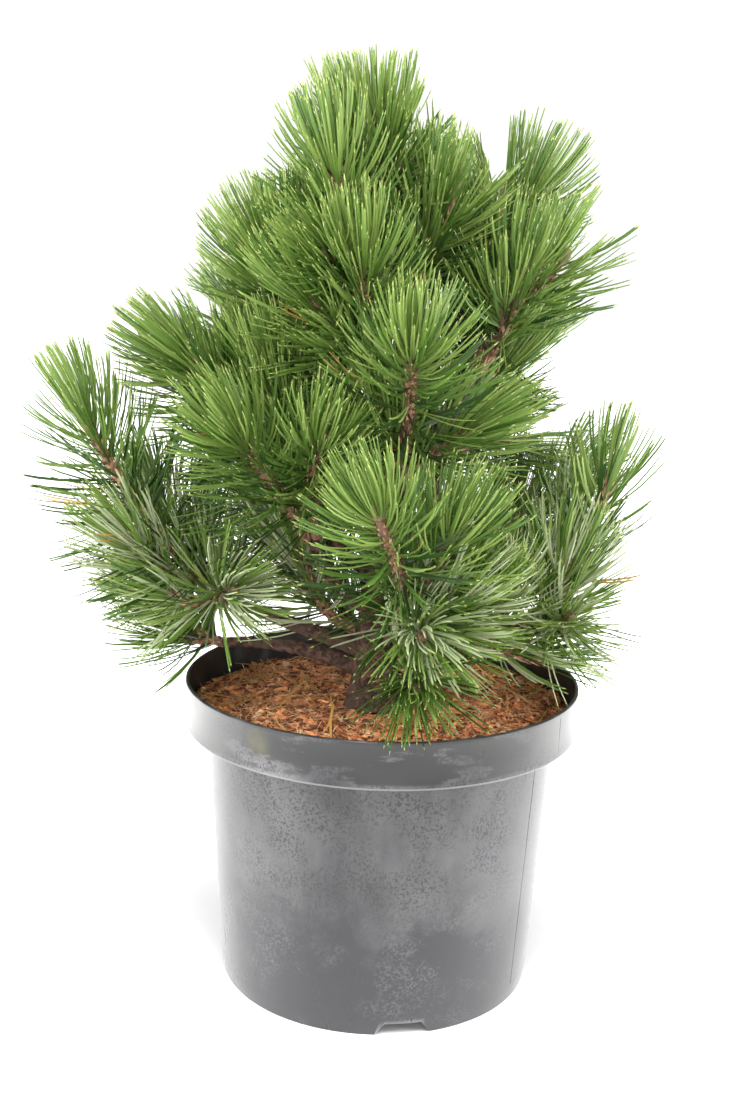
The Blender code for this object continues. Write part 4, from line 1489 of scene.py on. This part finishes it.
def chip_corners(cube, spot, dice):
    """The corners of one chip: a cube made rough, flat and long, and tilted on the soil."""
    shortest, added = CHIP_HALF_LENGTH
    half = shortest + added * dice.random() ** CHIP_SKEW
    size = np.array((half, half * dice.uniform(*CHIP_WIDTH_SHARE), dice.uniform(*CHIP_HALF_THICKNESS)))
    turn = Matrix.Rotation(dice.uniform(0.0, math.tau), 3, "Z")
    for tilt, axis in zip(CHIP_TILTS, "XY"):
        turn = turn @ Matrix.Rotation(dice.gauss(0.0, tilt), 3, axis)
    rough = [[dice.uniform(-CHIP_ROUGHNESS, CHIP_ROUGHNESS) for _ in range(3)] for _ in range(8)]
    corners = cube * (1.0 + np.array(rough)) * size
    return corners @ np.array(turn).T + np.array(spot) + (0.0, 0.0, LITTER_RISE)


def build_chips(materials):
    """Bark chips: flat six-sided slivers that lie on the soil at odd tilts."""
    dice = random.Random(CHIP_SEED)
    cube = np.array([(x, y, z) for x in (-1, 1) for y in (-1, 1) for z in (-1, 1)], float)
    quads = ((0, 1, 3, 2), (4, 6, 7, 5), (0, 4, 5, 1), (2, 3, 7, 6), (0, 2, 6, 4), (1, 5, 7, 3))
    for kind, share in CHIP_KINDS:
        verts = []
        faces = []
        for index, spot in enumerate(scattered(round(CHIPS * share), dice)):
            verts.append(chip_corners(cube, spot, dice))
            faces += [tuple(index * 8 + corner for corner in quad) for quad in quads]
        mesh = joined_mesh(kind, np.array(verts), faces)
        finish_piece(kind, mesh, materials[kind])


def lying_strand(spot, lengths, widths, rise, dice):
    """One thin bent strand on the soil, in the form of a needle."""
    aim = place(dice.uniform(0.0, 360.0), 1.0, 0.0)
    aim.z = dice.gauss(0.0, STRAND_TILT)
    aim.normalize()
    length = dice.uniform(*lengths)
    root = spot - aim * length / 2 + Vector((0.0, 0.0, rise))
    tip = spot + aim * length / 2 + Vector((0.0, 0.0, rise))
    for end in (root, tip):
        reach = math.hypot(end.x, end.y)
        if reach > SOIL_RADIUS - STRAND_EDGE:
            end.xy = end.xy * (SOIL_RADIUS - STRAND_EDGE) / reach
        end.z = max(end.z, soil_height(end.x, end.y))
    side = aim.cross(Vector((0.0, 0.0, 1.0))).normalized()
    bend = spot + side * length * dice.gauss(0.0, STRAND_BEND)
    bend += Vector((0.0, 0.0, rise + length * STRAND_ARCH))
    return root, bend, tip, side, dice.uniform(*widths), "strand"


def build_strands(materials):
    """Fibres and a few fallen needles that lie on the soil."""
    dice = random.Random(STRAND_SEED)
    for name, (finish, count, lengths, widths, rise) in STRANDS.items():
        found = [lying_strand(spot, lengths, widths, rise, dice) for spot in scattered(count, dice)]
        rings = needle_rings(needle_arrays(found), STRAND_STOPS, STRAND_TAPER)
        finish_piece(name, closed_tubes(name, rings), materials[finish])


# Floor, light and camera

def build_floor():
    """A plain white floor that is dull round the pot and glows further out: painted light that lights
    the plant and shines in the pot's sides.
    """
    shape = bmesh.new()
    bmesh.ops.create_grid(shape, x_segments=1, y_segments=1, size=FLOOR_HALF)
    floor = bpy.data.objects.new("floor", mesh_of("floor", shape))
    made, tree, shader = new_material("white_floor")
    shader.inputs["Base Color"].default_value = FLOOR_COLOUR
    shader.inputs["Roughness"].default_value = FLOOR_ROUGHNESS
    shader.inputs["Emission Strength"].default_value = FLOOR_GLOW
    reach = distance_from(tree, object_place(tree), FLOOR_DULL)
    glow = mixed(tree, between(tree, reach, *FLOOR_FADE), (0.0, 0.0, 0.0), (1.0, 1.0, 1.0))
    tree.links.new(glow, shader.inputs["Emission Color"])
    floor.data.materials.append(made)
    bpy.context.scene.collection.objects.link(floor)


def build_surround():
    """A white surround that looks brighter than the light it throws."""
    world = bpy.data.worlds.new("white_studio")
    world.use_nodes = True
    tree = world.node_tree
    background = tree.nodes["Background"]
    background.inputs["Color"].default_value = (1.0, 1.0, 1.0, 1.0)
    rays = tree.nodes.new("ShaderNodeLightPath")
    glow = add_node(tree, "ShaderNodeMapRange", To_Min=SURROUND, To_Max=BACKDROP)
    tree.links.new(rays.outputs["Is Camera Ray"], glow.inputs["Value"])
    tree.links.new(glow.outputs["Result"], background.inputs["Strength"])
    bpy.context.scene.world = world
    bpy.context.scene.view_settings.view_transform = "Standard"


def build_lights():
    """Large soft lights, all turned to the middle of the plant."""
    for name, (spot, power) in LIGHTS.items():
        data = bpy.data.lights.new(name, "AREA")
        data.size = LIGHT_SIZE
        data.energy = power
        lamp = bpy.data.objects.new(name, data)
        lamp.location = spot
        aim = LIGHT_AIM - Vector(spot)
        lamp.rotation_euler = aim.to_track_quat("-Z", "Y").to_euler()
        bpy.context.scene.collection.objects.link(lamp)


def build_camera():
    """The camera with the photograph's place, tilt and field of view."""
    forward = Vector((
        math.sin(CAMERA_YAW) * math.cos(CAMERA_PITCH),
        math.cos(CAMERA_YAW) * math.cos(CAMERA_PITCH),
        -math.sin(CAMERA_PITCH),
    ))
    level = Vector((math.cos(CAMERA_YAW), -math.sin(CAMERA_YAW), 0.0))
    above = level.cross(forward)
    right = level * math.cos(CAMERA_ROLL) + above * math.sin(CAMERA_ROLL)
    up = above * math.cos(CAMERA_ROLL) - level * math.sin(CAMERA_ROLL)
    data = bpy.data.cameras.new("camera")
    data.lens = CAMERA_LENS
    data.sensor_width = CAMERA_SENSOR
    camera = bpy.data.objects.new("camera", data)
    turn = Matrix((right, up, -forward)).transposed().to_4x4()
    camera.matrix_world = Matrix.Translation(CAMERA_PLACE) @ turn
    bpy.context.scene.collection.objects.link(camera)
    bpy.context.scene.camera = camera


def build_materials():
    """Every finish of the plant and its pot, by name."""
    group = mottle_group()
    made = {"pot": pot_material(group), "bare": rim_material(group)}
    for name, finish in FINISHES.items():
        made[name] = mottled_material(group, finish)
    for name, (dark, light) in LITTER_COLOURS.items():
        middle = tuple((a + b) / 2 for a, b in zip(dark, light))
        made[name] = mottled_material(group, Finish(name, (dark, light, middle), *LITTER_FINISH))
    for name, colour in {**NEEDLE_COLOURS, "tip": TIP_COLOUR}.items():
        made[name] = needle_material(name, colour)
    return made


def main():
    """The studio, then the pot, the soil and the plant."""
    build_camera()
    build_floor()
    build_surround()
    build_lights()
    materials = build_materials()
    build_pot(materials)
    build_seams(materials)
    build_soil_bed(materials)
    build_chips(materials)
    build_strands(materials)
    build_trunk(materials)
    build_boughs(materials)
    grown, limbs = grow_plant()
    needles, twigs = grow_crown(grown, limbs)
    build_needles(needles, materials)
    build_twigs([shoot for shoots in grown.values() for shoot in shoots], twigs, materials)


main()
